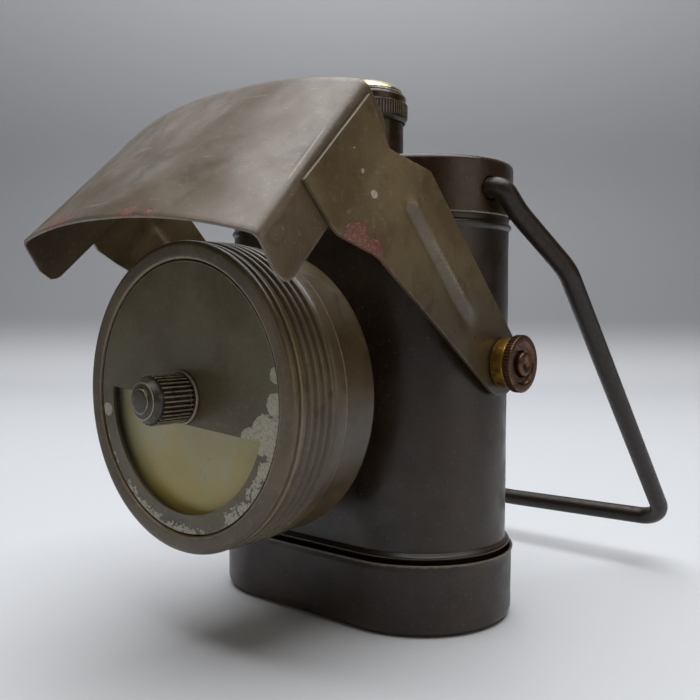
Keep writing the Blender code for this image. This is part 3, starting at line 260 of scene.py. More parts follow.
def ground_glass():
    """Frosted glass, greyer at the top and yellower where soot and damp ran down."""
    mat, tree = new_material("ground_glass")
    place = millimetres(tree)
    parts = add(tree, "ShaderNodeSeparateXYZ", (place,), None).outputs
    noises = patterns(tree, place, cloud=(11.0, 5.0, 0.6, 0.8), soot=(2.2, 6.0, 0.7, 0.0),
                      grain=(0.7, 3.0, 0.55, 0.0))
    fall = add(tree, RAMP, (parts["Z"], LENS_LEVEL - 31, LENS_LEVEL + 4, 1.0, 0.0))
    side = add(tree, RAMP, (parts["X"], -12.0, 30.0, 0.0, 0.5))
    amber = add(tree, MATH, (fall, side), operation="MAXIMUM")
    cloud = add(tree, RAMP, (noises["cloud"], 0.3, 0.7, -0.35, 0.35))
    amber = add(tree, MATH, (amber, cloud), operation="ADD", use_clamp=True)
    tone = layered(tree, srgb("#a3a187"), [
        (amber, srgb("#a89a61")),
        (add(tree, RAMP, (fall, 0.72, 1.0, 0.0, 0.5)), srgb("#b5a453")),
        (add(tree, RAMP, (noises["soot"], 0.58, 0.75, 0.0, 0.35)), srgb("#6f6a4c"))])
    bump = add(tree, "ShaderNodeBump", {"Height": noises["grain"], "Strength": 0.12,
                                        "Distance": 0.0003})
    surface(tree, {"Base Color": tone, "Normal": bump, "Roughness": 0.32, "IOR": 1.5,
                   "Subsurface Weight": 0.35, "Subsurface Scale": 0.002})
    return mat


HOOD_PAINT = worn_enamel(
    "hood_enamel", "#594b39", "#483b29", "#776852", rough=0.35, wear_level=0.5, scratch=0.35,
    grime=0.2,
    primer_spots=((-27, -90, 110.5, 5.0), (-22, -90.5, 111.5, 3.0), (5, -91.5, 111.5, 3.6),
                  (12, -91, 111, 2.6)))
# Painted light: the hood's arms get a lighter copy of the lamp's one enamel, for the light their
# flat side plates catch.
ARM_LIT_PAINT = worn_enamel(
    "arm_enamel_painted_light", "#66583f", "#53452e", "#7f7159", rough=0.32, wear_level=0.4, grime=0.35,
    wear_tone="#948670", grease=(90, 116),
    tin_spots=((48, -57, 122, 1.8), (48, -60, 127, 1.6), (48, -54, 117, 1.4)),
    primer_spots=((47, -60.5, 106.5, 5.0), (49, -56.5, 103.0, 4.5), (50, -53.5, 98.5, 3.6)))
# The body and its pads get a darker copy of the lamp's one enamel: partly the body's own deeper
# brown, partly painted shade from the hood and drum and a painted reflection of the dim room.
BODY_BROWN_AND_SHADE = worn_enamel("body_enamel_brown_and_painted_shade", "#2a1d12", "#1c130a", "#40301d", rough=0.34, wear_level=0.3,
                         blotch_mm=34.0, coat=0.0)
# Painted shade: the cap, neck and regulator get a much darker copy of the lamp's one enamel.
CAP_SHADED_PAINT = worn_enamel("cap_enamel_painted_shade", "#2c1c0c", "#180f05", "#4b351d", rough=0.3, wear_level=0.5,
                        coat=0.0)
# Painted shade: the base pan gets a darker copy of the lamp's one enamel.
PAN_SHADED_PAINT = worn_enamel("pan_enamel_painted_shade", "#32241a", "#231811", "#463526", rough=0.38,
                        wear_level=0.35, coat=0.0)
DRUM_PAINT = worn_enamel("drum_enamel", "#4d3f28", "#3a2e1b", "#66563c", rough=0.36, wear_level=0.4)
BEZEL_PAINT = worn_enamel(
    "bezel_enamel", "#564a34", "#433826", "#73654a", rough=0.36, wear_level=0.45,
    wear_tone="#94835d", primer_spots=((-39.2, -71.5, 79, 1.7), (-39.0, -72, 75.5, 1.2)))
SHUTTER_PAINT = worn_enamel(
    "shutter_enamel", "#575039", "#4a4129", "#6f6850", rough=0.42, wear_level=0.45, blotch_mm=20.0,
    grime=0.25,
    flakes=((34.0, -78, 12), (35.0, -150, -60), (36.0, -176, -128)),
    tin_spots=((30.5, -72.3, 60.5, 6.5), (33.5, -72.3, 68, 3.6), (33.8, -72.3, 75, 2.6),
               (25.0, -72.3, 59.0, 4.0), (31.0, -72.3, 52.0, 3.4), (-32.5, -72.3, 62, 2.4)))
KNOB_PAINT = worn_enamel("knob_enamel", "#3f3723", "#2a2416", "#7a7055", rough=0.4, wear_level=0.8)
HOUSING_PAINT = worn_enamel("inner_enamel", "#2f2518", "#221a10", "#423626", rough=0.45)
BRONZE = old_metal("brown_bronze", "#6b5040", "#33231a", 0.34, size_mm=2.6, contrast=(0.4, 0.75))
BRASS = old_metal("ochre_brass", "#a07a38", "#553b1a", 0.38, size_mm=2.2)
NICKEL = old_metal("rubbed_nickel", "#efe6d2", "#b9a988", 0.24, size_mm=2.6, speck=0.3)
ROD_STEEL = old_metal("browned_rod", "#271d16", "#17110c", 0.33, metallic=0.3, size_mm=1.6,
                      speck=0.35, contrast=(0.35, 0.75))
PLAIN_STEEL = old_metal("plain_steel", "#6a6258", "#3c352d", 0.4, size_mm=1.8)
ZINC = old_metal("dull_zinc", "#a9adae", "#7c8082", 0.45, size_mm=9.0, speck=0.15)
RUBBER = plain_stuff("black_rubber", "#1c1c1c", "#101010", 0.8)
FELT = plain_stuff("grey_felt", "#7b7468", "#5a544a", 0.95, 0.8, 0.9)
STEATITE = plain_stuff("fired_steatite", "#d9d2c0", "#b7ae98", 0.55)
GLASS = ground_glass()
print("materials:", len(bpy.data.materials))

# %% [markdown]
# ## Turned and drawn shapes
# Almost every piece is a round or oval sheet-metal shape: one outline swept round an axis. The
# outline is a list of (distance from the axis, height). Real sheet has no knife edges, so each
# corner is first rounded with a few points, and long runs are cut into short ones, so that light
# slides over the corners and the paint's wear stays close to them.

# %% Outlines
def soften(outline, radius=0.4, closed=True, steps=3, longest=5.0, support=0.9):
    """Rounds the corners of an outline, and adds points along its long runs."""
    points = [Vector(p) for p in outline]
    count = len(points)
    rounded = []
    for i, corner in enumerate(points):
        if not closed and i in (0, count - 1):
            rounded.append(corner)
            continue
        back, ahead = points[i - 1] - corner, points[(i + 1) % count] - corner
        bend = math.pi - back.angle(ahead, math.pi)
        reach = min(radius, back.length * 0.42, ahead.length * 0.42)
        if bend < 0.12 or reach < 1e-4:
            rounded.append(corner)
            continue
        start, end = corner + back.normalized() * reach, corner + ahead.normalized() * reach
        for step in range(steps + 1):
            t = step / steps
            rounded.append(start * (1 - t) ** 2 + corner * 2 * t * (1 - t) + end * t * t)
    full = []
    last = len(rounded) if closed else len(rounded) - 1
    for i in range(last):
        start, end = rounded[i], rounded[(i + 1) % len(rounded)]
        full.append(start)
        length = (end - start).length
        if length > 3 * support:
            full.append(start.lerp(end, support / length))
            pieces = math.ceil((length - 2 * support) / longest)
            for part in range(1, pieces):
                share = (support + (length - 2 * support) * part / pieces) / length
                full.append(start.lerp(end, share))
            full.append(start.lerp(end, 1 - support / length))
    if not closed:
        full.append(rounded[-1])
    return [tuple(p) for p in full]


def upright(middle, radius, angle, height):
    """Round or oval about the lamp's upright axis."""
    return (middle + radius * math.cos(angle), radius * math.sin(angle), height)


def lensward(middle, radius, angle, height):
    """Round about the lens axis; height is the distance towards the front."""
    return (radius * math.cos(angle), -height, LENS_LEVEL + radius * math.sin(angle))


PIVOT_LEVEL = 75.3


def sideways(sign):
    """Round about the hood's pivot axis; height is the distance out from the middle."""
    def place(middle, radius, angle, height):
        return (sign * height, radius * math.cos(angle), PIVOT_LEVEL + radius * math.sin(angle))
    return place


def circle(steps):
    """A full turn as (middle, angle) pairs."""
    return [(0.0, math.tau * i / steps) for i in range(steps)]


BODY_HALF_STRAIGHT = 21.2


def oval(steps=40, straight=12):
    """Two half circles joined by straight sides, as (middle, angle) pairs."""
    ring = [(BODY_HALF_STRAIGHT, math.pi * (i / steps - 0.5)) for i in range(steps + 1)]
    side = [BODY_HALF_STRAIGHT * (1 - 2 * i / straight) for i in range(1, straight)]
    ring += [(x, math.pi / 2) for x in side]
    ring += [(-BODY_HALF_STRAIGHT, math.pi * (i / steps + 0.5)) for i in range(steps + 1)]
    return ring + [(-x, -math.pi / 2) for x in side]


def mark_wear(bm, limit_deg=11.0):
    """Writes 1 into the wear attribute at every vertex on a sharp outer edge; gives its layer."""
    layer = bm.verts.layers.float.get("wear") or bm.verts.layers.float.new("wear")
    for vert in bm.verts:
        vert[layer] = 0.0
    for edge in bm.edges:
        bend = edge.calc_face_angle_signed(0.0) if len(edge.link_faces) == 2 else 0.0
        if bend > math.radians(limit_deg):
            for vert in edge.verts:
                vert[layer] = 1.0
    return layer


def placed(name, data):
    """A new object in the scene."""
    obj = bpy.data.objects.new(name, data)
    bpy.context.scene.collection.objects.link(obj)
    return obj


def made_object(bm, name, scale=MM):
    """Turns a bmesh, in millimetres if nothing else is said, into an object in metres."""
    bmesh.ops.scale(bm, vec=(scale, scale, scale), verts=bm.verts)
    mesh = bpy.data.meshes.new(name)
    bm.to_mesh(mesh)
    bm.free()
    return placed(name, mesh)


def finish(bm, name, body, mat, replaces=(), sharp_deg=38.0):
    """Turns a bmesh in millimetres into a piece that rides on a body."""
    return dress(made_object(bm, name), body, mat, replaces, sharp_deg)


def dress(obj, body, mat, replaces=(), sharp_deg=38.0):
    """Smooth shading with true edges kept, the material, and the body it rides on."""
    mesh = obj.data
    mesh.materials.clear()
    mesh.materials.append(mat)
    for face in mesh.polygons:
        face.use_smooth = True
        face.material_index = 0
    mesh.set_sharp_from_angle(angle=math.radians(sharp_deg))
    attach(obj, body)
    if replaces:
        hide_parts(*replaces)
    return obj


def swept(outline, ring, place, closed=True):
    """A closed solid: the outline carried round a ring of (middle, angle) pairs."""
    bm = bmesh.new()
    rows = []
    for middle, angle in ring:
        rows.append([bm.verts.new(place(middle, r, angle, h)) for r, h in outline])
    count = len(outline)
    for i, row in enumerate(rows):
        after = rows[(i + 1) % len(rows)]
        for j in range(count if closed else count - 1):
            k = (j + 1) % count
            bm.faces.new((row[j], row[k], after[k], after[j]))
    bmesh.ops.remove_doubles(bm, verts=bm.verts, dist=1e-5)
    bmesh.ops.dissolve_degenerate(bm, edges=bm.edges, dist=1e-6)
    bmesh.ops.recalc_face_normals(bm, faces=bm.faces)
    mark_wear(bm)
    return bm


def turned(name, body, mat, slot, node, outline, place, steps, radius=0.3, closed=True):
    """A turned piece: an outline with softened corners, swept round an axis."""
    bm = swept(soften(outline, radius, closed), circle(steps), place, closed)
    return finish(bm, name, body, mat, [node])


def unevenness(bm, amount, size, covers):
    """Moves part of a surface in and out by a small slow noise, as handled sheet has."""
    bm.normal_update()
    for vert in bm.verts:
        if covers(vert.co):
            vert.co += vert.normal * (noise.noise(vert.co / size) - 0.25) * amount


print("shape tools are ready")

# %% [markdown]
# ## Camera, light and a pale table
# A camera at lamp height looks at the front corner with a short telephoto lens. One wide soft
# light hangs overhead and a little to the left. It makes the bright sheen on the hood, and leaves
# the upright walls dark, because they mirror the dim room in front. Table and wall are one sheet
# that curves up behind.

# %% Camera and lights
CAMERA_PLACE = (0.17906, -0.21541, 0.09065)
CAMERA_YAW, CAMERA_PITCH, CAMERA_ROLL = (math.radians(a) for a in (40.64, -2.77, 0.28))
camera_data = bpy.data.cameras.new("camera")
camera_data.lens = 45.65
camera_data.sensor_width = 36.0
camera_data.clip_start, camera_data.clip_end = 0.01, 20.0
camera = placed("camera", camera_data)
camera.location = CAMERA_PLACE
camera.rotation_euler = (math.pi / 2 + CAMERA_PITCH, 0.0, CAMERA_YAW)
camera.rotation_euler = (camera.rotation_euler.to_matrix()
                         @ Matrix.Rotation(CAMERA_ROLL, 3, "Z")).to_euler()
bpy.context.scene.camera = camera


def softbox(name, place, aim, width, height, power, tint="#ffffff"):
    """A rectangular soft light that looks at a point."""
    data = bpy.data.lights.new(name, "AREA")
    data.shape, data.size, data.size_y = "RECTANGLE", width, height
    data.energy = power
    data.color = srgb(tint)[:3]
    light = placed(name, data)
    light.location = place
    light.rotation_euler = (Vector(aim) - Vector(place)).to_track_quat("-Z", "Y").to_euler()


softbox("overhead", (0.0, 0.02, 1.2), (0, 0, 0.05), 1.4, 1.4, 24.0)
softbox("left_glow", (-1.15, 0.6, 0.85), (0, 0, 0.1), 0.8, 0.8, 3.0)
softbox("front_fill", (-0.15, -1.3, 0.55), (0, 0, 0.07), 0.9, 0.6, 1.1, "#fff0dc")
softbox("side_glow", (1.5, 0.1, 0.5), (0, 0, 0.06), 1.0, 1.0, 3.0, "#fff0dc")

world = bpy.data.worlds.new("room")
bpy.context.scene.world = world
world.use_nodes = True
world.node_tree.nodes["Background"].inputs[0].default_value = srgb("#b8afa0")
world.node_tree.nodes["Background"].inputs[1].default_value = 0.07
bpy.context.scene.view_settings.view_transform = "Standard"
print("camera and four lights")

# %% Table and wall
def backdrop():
    """One sheet: a flat table that curves up into a wall behind the lamp, with painted shade on the
    wall.
    """
    toward = Vector((-math.sin(CAMERA_YAW), math.cos(CAMERA_YAW), 0))
    across = Vector((toward.y, -toward.x, 0))
    bend, start = 0.34, 0.72
    line = [(-3.0, 0.0), (-1.0, 0.0), (start * 0.5, 0.0), (start, 0.0)]
    for step in range(1, 17):
        angle = math.pi / 2 * step / 16
        line.append((start + bend * math.sin(angle), bend * (1 - math.cos(angle))))
    line.append((start + bend, 2.6))
    bm = bmesh.new()
    sides = []
    for offset in (-3.2, 3.2):
        sides.append([bm.verts.new(toward * along + across * offset + Vector((0, 0, up)))
                      for along, up in line])
    for i in range(len(line) - 1):
        bm.faces.new((sides[0][i], sides[1][i], sides[1][i + 1], sides[0][i + 1]))
    for face in bm.faces:
        face.smooth = True
    table = made_object(bm, "table", 1.0)
    mat, tree = new_material("pale_card_with_painted_shade")
    height = add(tree, "ShaderNodeSeparateXYZ",
                 (add(tree, "ShaderNodeTexCoord", out="Object"),), "Z")
    # Painted shade and light: the card turns dark grey where it rises into the wall and lighter
    # again high up, as the overhead light falls on it; the table stays evenly pale.
    wall = layered(tree, srgb("#cfd2d7"), [
        (add(tree, RAMP, (height, 0.0, 0.08)), srgb("#8a8c91")),
        (add(tree, RAMP, (height, 0.25, 0.75)), srgb("#b2b4b8"))])
    surface(tree, {"Base Color": wall, "Roughness": 0.55})
    table.data.materials.append(mat)


backdrop()
print("table laid")

# %% [markdown]
# ## Base pan and body
# The pan is drawn from one sheet: a flat bottom, a rounded foot and a wall whose rim flares
# slightly. The body is a soldered oval tube with two rolled beads, one just above the pan's rim
# and one under the cap. Long flat walls of thin tin are never true, so a very small unevenness
# bends the reflections.

# %% Base pan
SHEET = 0.8
BODY_RADIUS = 26.3
PAN_INNER = 27.4
PAN_OUTER = 28.2
PAN_HEIGHT = 20.5
PAN_FOOT = 3.0


def build_pan():
    """The pan's inside and outside as one outline, from the middle out and back."""
    outer, inner = PAN_FOOT, PAN_FOOT - SHEET
    foot = [(PAN_OUTER - outer + outer * math.sin(a), outer - outer * math.cos(a))
            for a in (math.pi / 2 * i / 8 for i in range(9))]
    inside = [(PAN_OUTER - outer + inner * math.sin(a), outer - inner * math.cos(a))
              for a in (math.pi / 2 * (1 - i / 6) for i in range(7))]
    flare = PAN_HEIGHT - 2.0
    outline = [(0, 0), *foot, (PAN_OUTER, flare), (PAN_OUTER + 0.5, PAN_HEIGHT - 0.05),
               (PAN_INNER + 0.5, PAN_HEIGHT - 0.05), (PAN_INNER, flare), *inside, (0, SHEET)]
    bm = swept(soften(outline, 0.3, closed=False), oval(), upright, closed=False)
    unevenness(bm, 0.12, 14.0, lambda co: 4.0 < co.z < 17.0)
    return finish(bm, "pan", "base", PAN_SHADED_PAINT, ["base_pan"])


pan = build_pan()
print("pan:", len(pan.data.polygons), "faces")

# %% Body tube
def half_bead(radius, centre, height, proud, steps=8):
    """Points of a rolled bead that stands out from a wall."""
    return [(radius + proud * math.sin(math.pi * i / steps),
             centre - height / 2 + height * i / steps) for i in range(steps + 1)]


def build_body():
    """The oval tube with its two beads."""
    outline = [(BODY_RADIUS, 3.4), *half_bead(BODY_RADIUS, 22.0, 2.4, 1.3),
               *half_bead(BODY_RADIUS, 113.86, 2.4, 0.7),
               (BODY_RADIUS, 119.0), (BODY_RADIUS - SHEET, 119.0), (BODY_RADIUS - SHEET, 3.4)]
    bm = swept(soften(outline, 0.25, longest=4.0), oval(), upright)
    unevenness(bm, 0.16, 16.0, lambda co: 25.0 < co.z < 111.0 and abs(co.x) < 44)
    return finish(bm, "body", "lamp_body", BODY_BROWN_AND_SHADE, ["body_shell"])


body = build_body()
print("body:", len(body.data.polygons), "faces")

# %% [markdown]
# ## Cap, filler neck and regulator
# The cap is a shallow drawn lid with a hole in the middle for the neck and one at each end for
# the bail. Holes are cut with a boolean, which is then made real. The regulator turns on the neck:
# its lower skirt has a fine knurl, and a polished dome sits on top.

# %% Cutting tool
def carve(obj, *tools):
    """Cuts other meshes out of a piece, for good, and throws the cutters away."""
    for tool in tools:
        cut = obj.modifiers.new("cut", "BOOLEAN")
        cut.operation, cut.solver, cut.object = "DIFFERENCE", "EXACT", tool
        tool.hide_render = True
    shape = evaluated(obj)
    obj.modifiers.clear()
    obj.data = shape
    for tool in tools:
        bpy.data.objects.remove(tool)
    return obj


def evaluated(obj):
    """The mesh an object has once its modifiers have run."""
    graph = bpy.context.evaluated_depsgraph_get()
    return bpy.data.meshes.new_from_object(obj.evaluated_get(graph), depsgraph=graph)


def rod_tool(start, end, radius, steps=40):
    """A round cutter between two points in millimetres."""
    bm = bmesh.new()
    start, end = Vector(start), Vector(end)
    bmesh.ops.create_cone(bm, cap_ends=True, segments=steps, radius1=radius, radius2=radius,
                          depth=(end - start).length)
    turn = Vector((0, 0, 1)).rotation_difference(end - start).to_matrix().to_4x4()
    bmesh.ops.transform(bm, matrix=Matrix.Translation((start + end) / 2) @ turn, verts=bm.verts)
    return made_object(bm, "cutter")


# %% Cap
CAP_TOP = 132.0
CAP_OUTER = 27.4
CAP_EDGE = 1.6
CAP_LOW = 116.5
HANDLE_FORWARD = 4.0
HANDLE_LEVEL = 123.5
HANDLE_ROD = 6.0
SIDES = (("right", 1), ("left", -1))


def build_cap():
    """The lid with its rolled shoulder, the neck's hole and the two holes for the bail."""
    shoulder, bend = CAP_OUTER - CAP_EDGE, CAP_TOP - CAP_EDGE
    rim = [(shoulder + CAP_EDGE * math.cos(a), bend + CAP_EDGE * math.sin(a))
           for a in (math.pi / 2 * i / 8 for i in range(9))]
    outline = [(0, CAP_TOP - SHEET), (shoulder, CAP_TOP - SHEET), (CAP_OUTER - SHEET, bend),
               (CAP_OUTER - SHEET, CAP_LOW), (CAP_OUTER, CAP_LOW), *rim, (0, CAP_TOP)]
    bm = swept(soften(outline, 0.22, closed=False), oval(), upright, closed=False)
    obj = finish(bm, "cap", "lamp_body", CAP_SHADED_PAINT, ["top_cap"])
    tools = [rod_tool((0, 0, 128), (0, 0, 136), 12.2, 96)]
    for sign in (1, -1):
        tools.append(rod_tool((sign * 44, -HANDLE_FORWARD, HANDLE_LEVEL),
                              (sign * 52, -HANDLE_FORWARD, HANDLE_LEVEL), HANDLE_ROD / 2 + 0.4))
    carve(obj, *tools)
    return dress(obj, "lamp_body", CAP_SHADED_PAINT)


cap = build_cap()
print("cap:", len(cap.data.polygons), "faces")

# %% [markdown]
# ## A ring of teeth
# Knurls and flutes repeat one small tooth round an axis. A Geometry Nodes tree does that: a short
# bar with a rounded back is copied to points on a circle and turned to face outwards. Its sizes
# are named inputs. The copies are made real at the end, because an export drops instances, and the
# result becomes a plain mesh.

# %% Tooth ring tree
def tooth_tree():
    """Geometry Nodes: Count teeth of Width, Length and Proud on a circle of Radius."""
    tree = bpy.data.node_groups.new("tooth_ring", "GeometryNodeTree")
    for name, kind in (("Count", "NodeSocketInt"), ("Radius", "NodeSocketFloat"),
                       ("Width", "NodeSocketFloat"), ("Length", "NodeSocketFloat"),
                       ("Proud", "NodeSocketFloat"), ("Finish", "NodeSocketMaterial")):
        tree.interface.new_socket(name, in_out="INPUT", socket_type=kind)
    tree.interface.new_socket("Geometry", in_out="OUTPUT", socket_type="NodeSocketGeometry")
    given = add(tree, "NodeGroupInput", out=None).outputs
    ring = add(tree, "GeometryNodeMeshCircle",
               {"Vertices": given["Count"], "Radius": given["Radius"]})
    bar = add(tree, "GeometryNodeMeshCylinder",
              {"Vertices": 10, "Side Segments": 1, "Radius": 1.0, "Depth": given["Length"]})
    size = add(tree, "ShaderNodeCombineXYZ", {"X": given["Proud"], "Y": given["Width"], "Z": 1.0})
    shaped = add(tree, "GeometryNodeTransform", {"Geometry": bar, "Scale": size})
    where = add(tree, "GeometryNodeInputPosition")
    turn = add(tree, "FunctionNodeAlignEulerToVector", {"Vector": where}, axis="X", pivot_axis="Z")
    copies = add(tree, "GeometryNodeInstanceOnPoints",
                 {"Points": ring, "Instance": shaped, "Rotation": turn})
    real = add(tree, "GeometryNodeRealizeInstances", (copies,))
    coloured = add(tree, "GeometryNodeSetMaterial",
                   {"Geometry": real, "Material": given["Finish"]})
    add(tree, "NodeGroupOutput", (coloured,), None)
    return tree


TOOTH_TREE = tooth_tree()


def tooth_ring(name, body, mat, count, radius, width, length, proud, place):
    """A ring of teeth in millimetres, moved to its place by a matrix in metres."""
    obj = placed(name, bpy.data.meshes.new(name))
    grow = obj.modifiers.new("teeth", "NODES")
    grow.node_group = TOOTH_TREE
    values = {"Count": count, "Radius": radius * MM, "Width": width * MM, "Length": length * MM,
              "Proud": proud * MM, "Finish": mat}
    for item in TOOTH_TREE.interface.items_tree:
        if item.in_out == "INPUT":
            grow[item.identifier] = values[item.name]
    obj.data = evaluated(obj)
    obj.modifiers.clear()
    obj.data.transform(place)
    bm = bmesh.new()
    bm.from_mesh(obj.data)
    bmesh.ops.recalc_face_normals(bm, faces=bm.faces)
    layer = bm.verts.layers.float.new("wear")
    axis_point = place.translation
    for vert in bm.verts:
        along = (vert.co - axis_point).dot(place.col[2].to_3d())
        away = (vert.co - axis_point - place.col[2].to_3d() * along).length
        vert[layer] = min(max((away / MM - radius) / proud, 0.0), 1.0)
    bm.to_mesh(obj.data)
    bm.free()
    print(name + ":", count, "teeth,", len(obj.data.polygons), "faces")
    return dress(obj, body, mat, sharp_deg=50.0)


def upright_place(height):
    """The place of a ring about the lamp's upright axis."""
    return Matrix.Translation((0, 0, height * MM))


def lens_place(forward):
    """The place of a ring about the lens axis."""
    return (Matrix.Translation((0, -forward * MM, LENS_LEVEL * MM))
            @ Matrix.Rotation(math.pi / 2, 4, "X"))


def side_place(sign, out):
    """The place of a ring about the hood's pivot axis, on one side."""
    return (Matrix.Translation((sign * out * MM, 0, PIVOT_LEVEL * MM))
            @ Matrix.Rotation(sign * math.pi / 2, 4, "Y"))


# %% Neck, regulator and dome
turned("neck", "lamp_body", CAP_SHADED_PAINT, "paint", "filler_neck",
       [(10.9, 115.0), (11.9, 115.0), (11.9, 150.0), (10.9, 150.0)], upright, 96)
turned("regulator", "regulator", CAP_SHADED_PAINT, "paint", "regulator_cap",
       [(0, 155.1), (12.3, 155.1), (12.3, 147.4), (12.4, 147.4), (12.95, 148.6), (12.95, 152.9),
        (12.6, 153.6), (12.6, 155.3), (12.1, 156.0), (0, 156.0)], upright, 120, closed=False)
tooth_ring("regulator_knurl", "regulator", CAP_SHADED_PAINT, 84, 12.9, 0.26, 4.0, 0.28,
           upright_place(151.0))


def build_dome():
    """A low polished dome on a thin flange."""
    outline = [(0, 156.3), (11.6, 156.3), (11.6, 156.8)]
    for step in range(1, 12):
        angle = math.pi / 2 * step / 12
        outline.append((11.6 * math.cos(angle), 156.8 + 3.7 * math.sin(angle) ** 1.2))
    outline.append((0, 160.48))
    turned("dome", "regulator", NICKEL, "nickel", "regulator_dome", outline, upright, 96, 0.2,
           closed=False)


build_dome()
print("turret done")

# %% [markdown]
# ## Drum and front ring
# The drum is a wide collar with a coned back, standing on the body's front wall. The ring screws
# over its threaded tube. Behind the ring's rounded flange there is a groove, a plain band and four
# tight grip ridges, all drawn into one outline and turned round the lens axis.

# %% Drum
AIR_HOLES, AIR_RING, AIR_HOLE_RADIUS = 6, 29.0, 2.2


def build_drum():
    """The collar with its coned back and a ring of air holes."""
    back = [(36.8 + 2.0 * math.sin(a), 43.2 - 2.0 * math.cos(a))
            for a in (math.pi / 2 * i / 8 for i in range(9))]
    outline = [(21.3, 31.0), *back, (38.8, 53.2), (37.8, 53.2), (37.8, 65.4), (37.0, 65.4),
               (37.0, 42.8), (21.3, 32.4)]
    obj = turned("drum", "lamp_body", DRUM_PAINT, "paint", "drum_shell", outline, lensward, 160)
    tools = []
    for index in range(AIR_HOLES):
        angle = math.tau * (index + 0.5) / AIR_HOLES
        x, z = AIR_RING * math.cos(angle), LENS_LEVEL + AIR_RING * math.sin(angle)
        tools.append(rod_tool((x, -27.3, z), (x, -47.2, z), AIR_HOLE_RADIUS, 24))
    carve(obj, *tools)
    return dress(obj, "lamp_body", DRUM_PAINT)


drum = build_drum()
turned("drum_seat", "lamp_body", DRUM_PAINT, "paint", "drum_neck",
       [(20.0, 26.6), (24.0, 26.6), (24.0, 27.6), (21.0, 27.6), (21.0, 35.0), (20.0, 35.0)],
       lensward, 96, 0.25)
print("drum:", len(drum.data.polygons), "faces")


# %% Front ring
def ridge(middle, root, crown, half=1.02, steps=8):
    """One rounded grip ridge as outline points."""
    return [(root + (crown - root) * math.sin(math.pi * i / steps) ** 0.8,
             middle - half + 2 * half * i / steps) for i in range(steps + 1)]


def build_ring():
    """The screwed ring: grip ridges, a band, a groove and the rounded flange."""
    root, crown = 39.25, 40.0
    outline = [(38.2, 53.5), (root, 53.5), (root + 0.25, 54.0), (root + 0.2, 56.9)]
    for index in range(4):
        outline += ridge(59.0 + 2.5 * index, root - 0.1, crown)
    outline += [(39.6, 68.1), (39.7, 69.6), (38.95, 70.0), (38.95, 70.35)]
    outline += [(38.55 + 1.4 * math.cos(a), 71.6 + 1.4 * math.sin(a))
                for a in (math.radians(-50 + 140 * i / 10) for i in range(11))]
    outline += [(35.5, 72.75), (35.2, 72.3), (35.2, 71.8), (38.2, 71.8)]
    bm = swept(soften(outline, 0.18, steps=2), circle(180), lensward)
    return finish(bm, "front_ring", "front_ring", BEZEL_PAINT, ["bezel"])


ring = build_ring()
print("front ring:", len(ring.data.polygons), "faces")

# %% [markdown]
# ## Shutter, mask, glass and knob
# Two thin discs each have the same opening below the middle; turning the front one closes the
# light. The opening is cut from a disc with a prism. The glass behind them is one plain disc. The
# knob is a turned core with 32 rounded flutes and a worn boss.

# %% Shutter and mask
WINDOW_RADIUS, HUB_RADIUS = 30.0, 7.0
WINDOW_FROM, WINDOW_SWEEP = 178.0, 165.5
HUB_FROM, HUB_SWEEP = 283.5, 103.5
SPINDLE_HOLE = 1.9


def window_tool(grow):
    """A prism in the shape of the light opening."""
    outline = [(WINDOW_RADIUS + grow, math.radians(WINDOW_FROM + WINDOW_SWEEP * i / 60))
               for i in range(61)]
    outline += [(HUB_RADIUS - grow, math.radians(HUB_FROM - HUB_SWEEP * i / 14))
                for i in range(15)]
    bm = bmesh.new()
    face = bm.faces.new([bm.verts.new((r * math.cos(a), -66.9, LENS_LEVEL + r * math.sin(a)))
                         for r, a in outline])
    raised = bmesh.ops.extrude_face_region(bm, geom=[face])["geom"]
    bmesh.ops.translate(bm, vec=(0, -9, 0),
                        verts=[v for v in raised if isinstance(v, bmesh.types.BMVert)])
    bmesh.ops.recalc_face_normals(bm, faces=bm.faces)
    return made_object(bm, "cutter")


def disc_with_window(name, body, mat, node, radius, back, front, grow):
    """A thin disc with the light opening and a hole for the knob's spindle."""
    outline = [(0, back), (radius, back), (radius, front), (0, front)]
    bm = swept(soften(outline, 0.15, closed=False, support=0.6), circle(144), lensward,
               closed=False)
    obj = finish(bm, name, body, mat, [node])
    carve(obj, window_tool(grow),
          rod_tool((0, -69, LENS_LEVEL), (0, -76, LENS_LEVEL), SPINDLE_HOLE))
    dress(obj, body, mat)


disc_with_window("shutter", "shutter", SHUTTER_PAINT, "shutter_disc", 34.8, 71.5, 72.3, 0.0)
disc_with_window("mask", "glass_pack", HOUSING_PAINT, "mask_plate", 37.9, 70.2, 71.0, 0.6)
turned("glass", "glass_pack", GLASS, "glass", "lens_glass",
       [(0, 66.8), (37.9, 66.8), (37.9, 68.8), (0, 68.8)], lensward, 128, closed=False)
print("shutter, mask and glass")

# %% Knob
turned("knob_washer", "shutter", KNOB_PAINT, "paint", "knob_collar",
       [(1.9, 72.6), (6.9, 72.6), (6.9, 73.3), (1.9, 73.3)], lensward, 64, 0.2)
turned("knob", "shutter", KNOB_PAINT, "knob", "shutter_knob",
       [(0, 80.3), (1.9, 80.3), (1.9, 73.6), (5.7, 73.6), (5.75, 82.9), (4.6, 84.75),
        (3.3, 84.8), (3.1, 85.4), (2.6, 85.58), (0, 85.6)], lensward, 90, closed=False)
tooth_ring("knob_flutes", "shutter", KNOB_PAINT, 32, 5.72, 0.36, 8.9, 0.66,
           lens_place(78.1))
print("knob done")

# %% [markdown]
# ## Hood
# The hood is one sheet: a shallow arch between two folds, with a flange down each side whose ends
# are rounded. It is laid out as a grid, across from flange to flange and along from front to rear.
# The sheet is sprung a little out of true, so its two ends lean differently. A wall is added
# inwards at the end.

# %% Hood sheet
def slope(degrees):
    """A unit direction in the side view, as (Y, Z)."""
    return Vector((math.cos(math.radians(degrees)), math.sin(math.radians(degrees))))


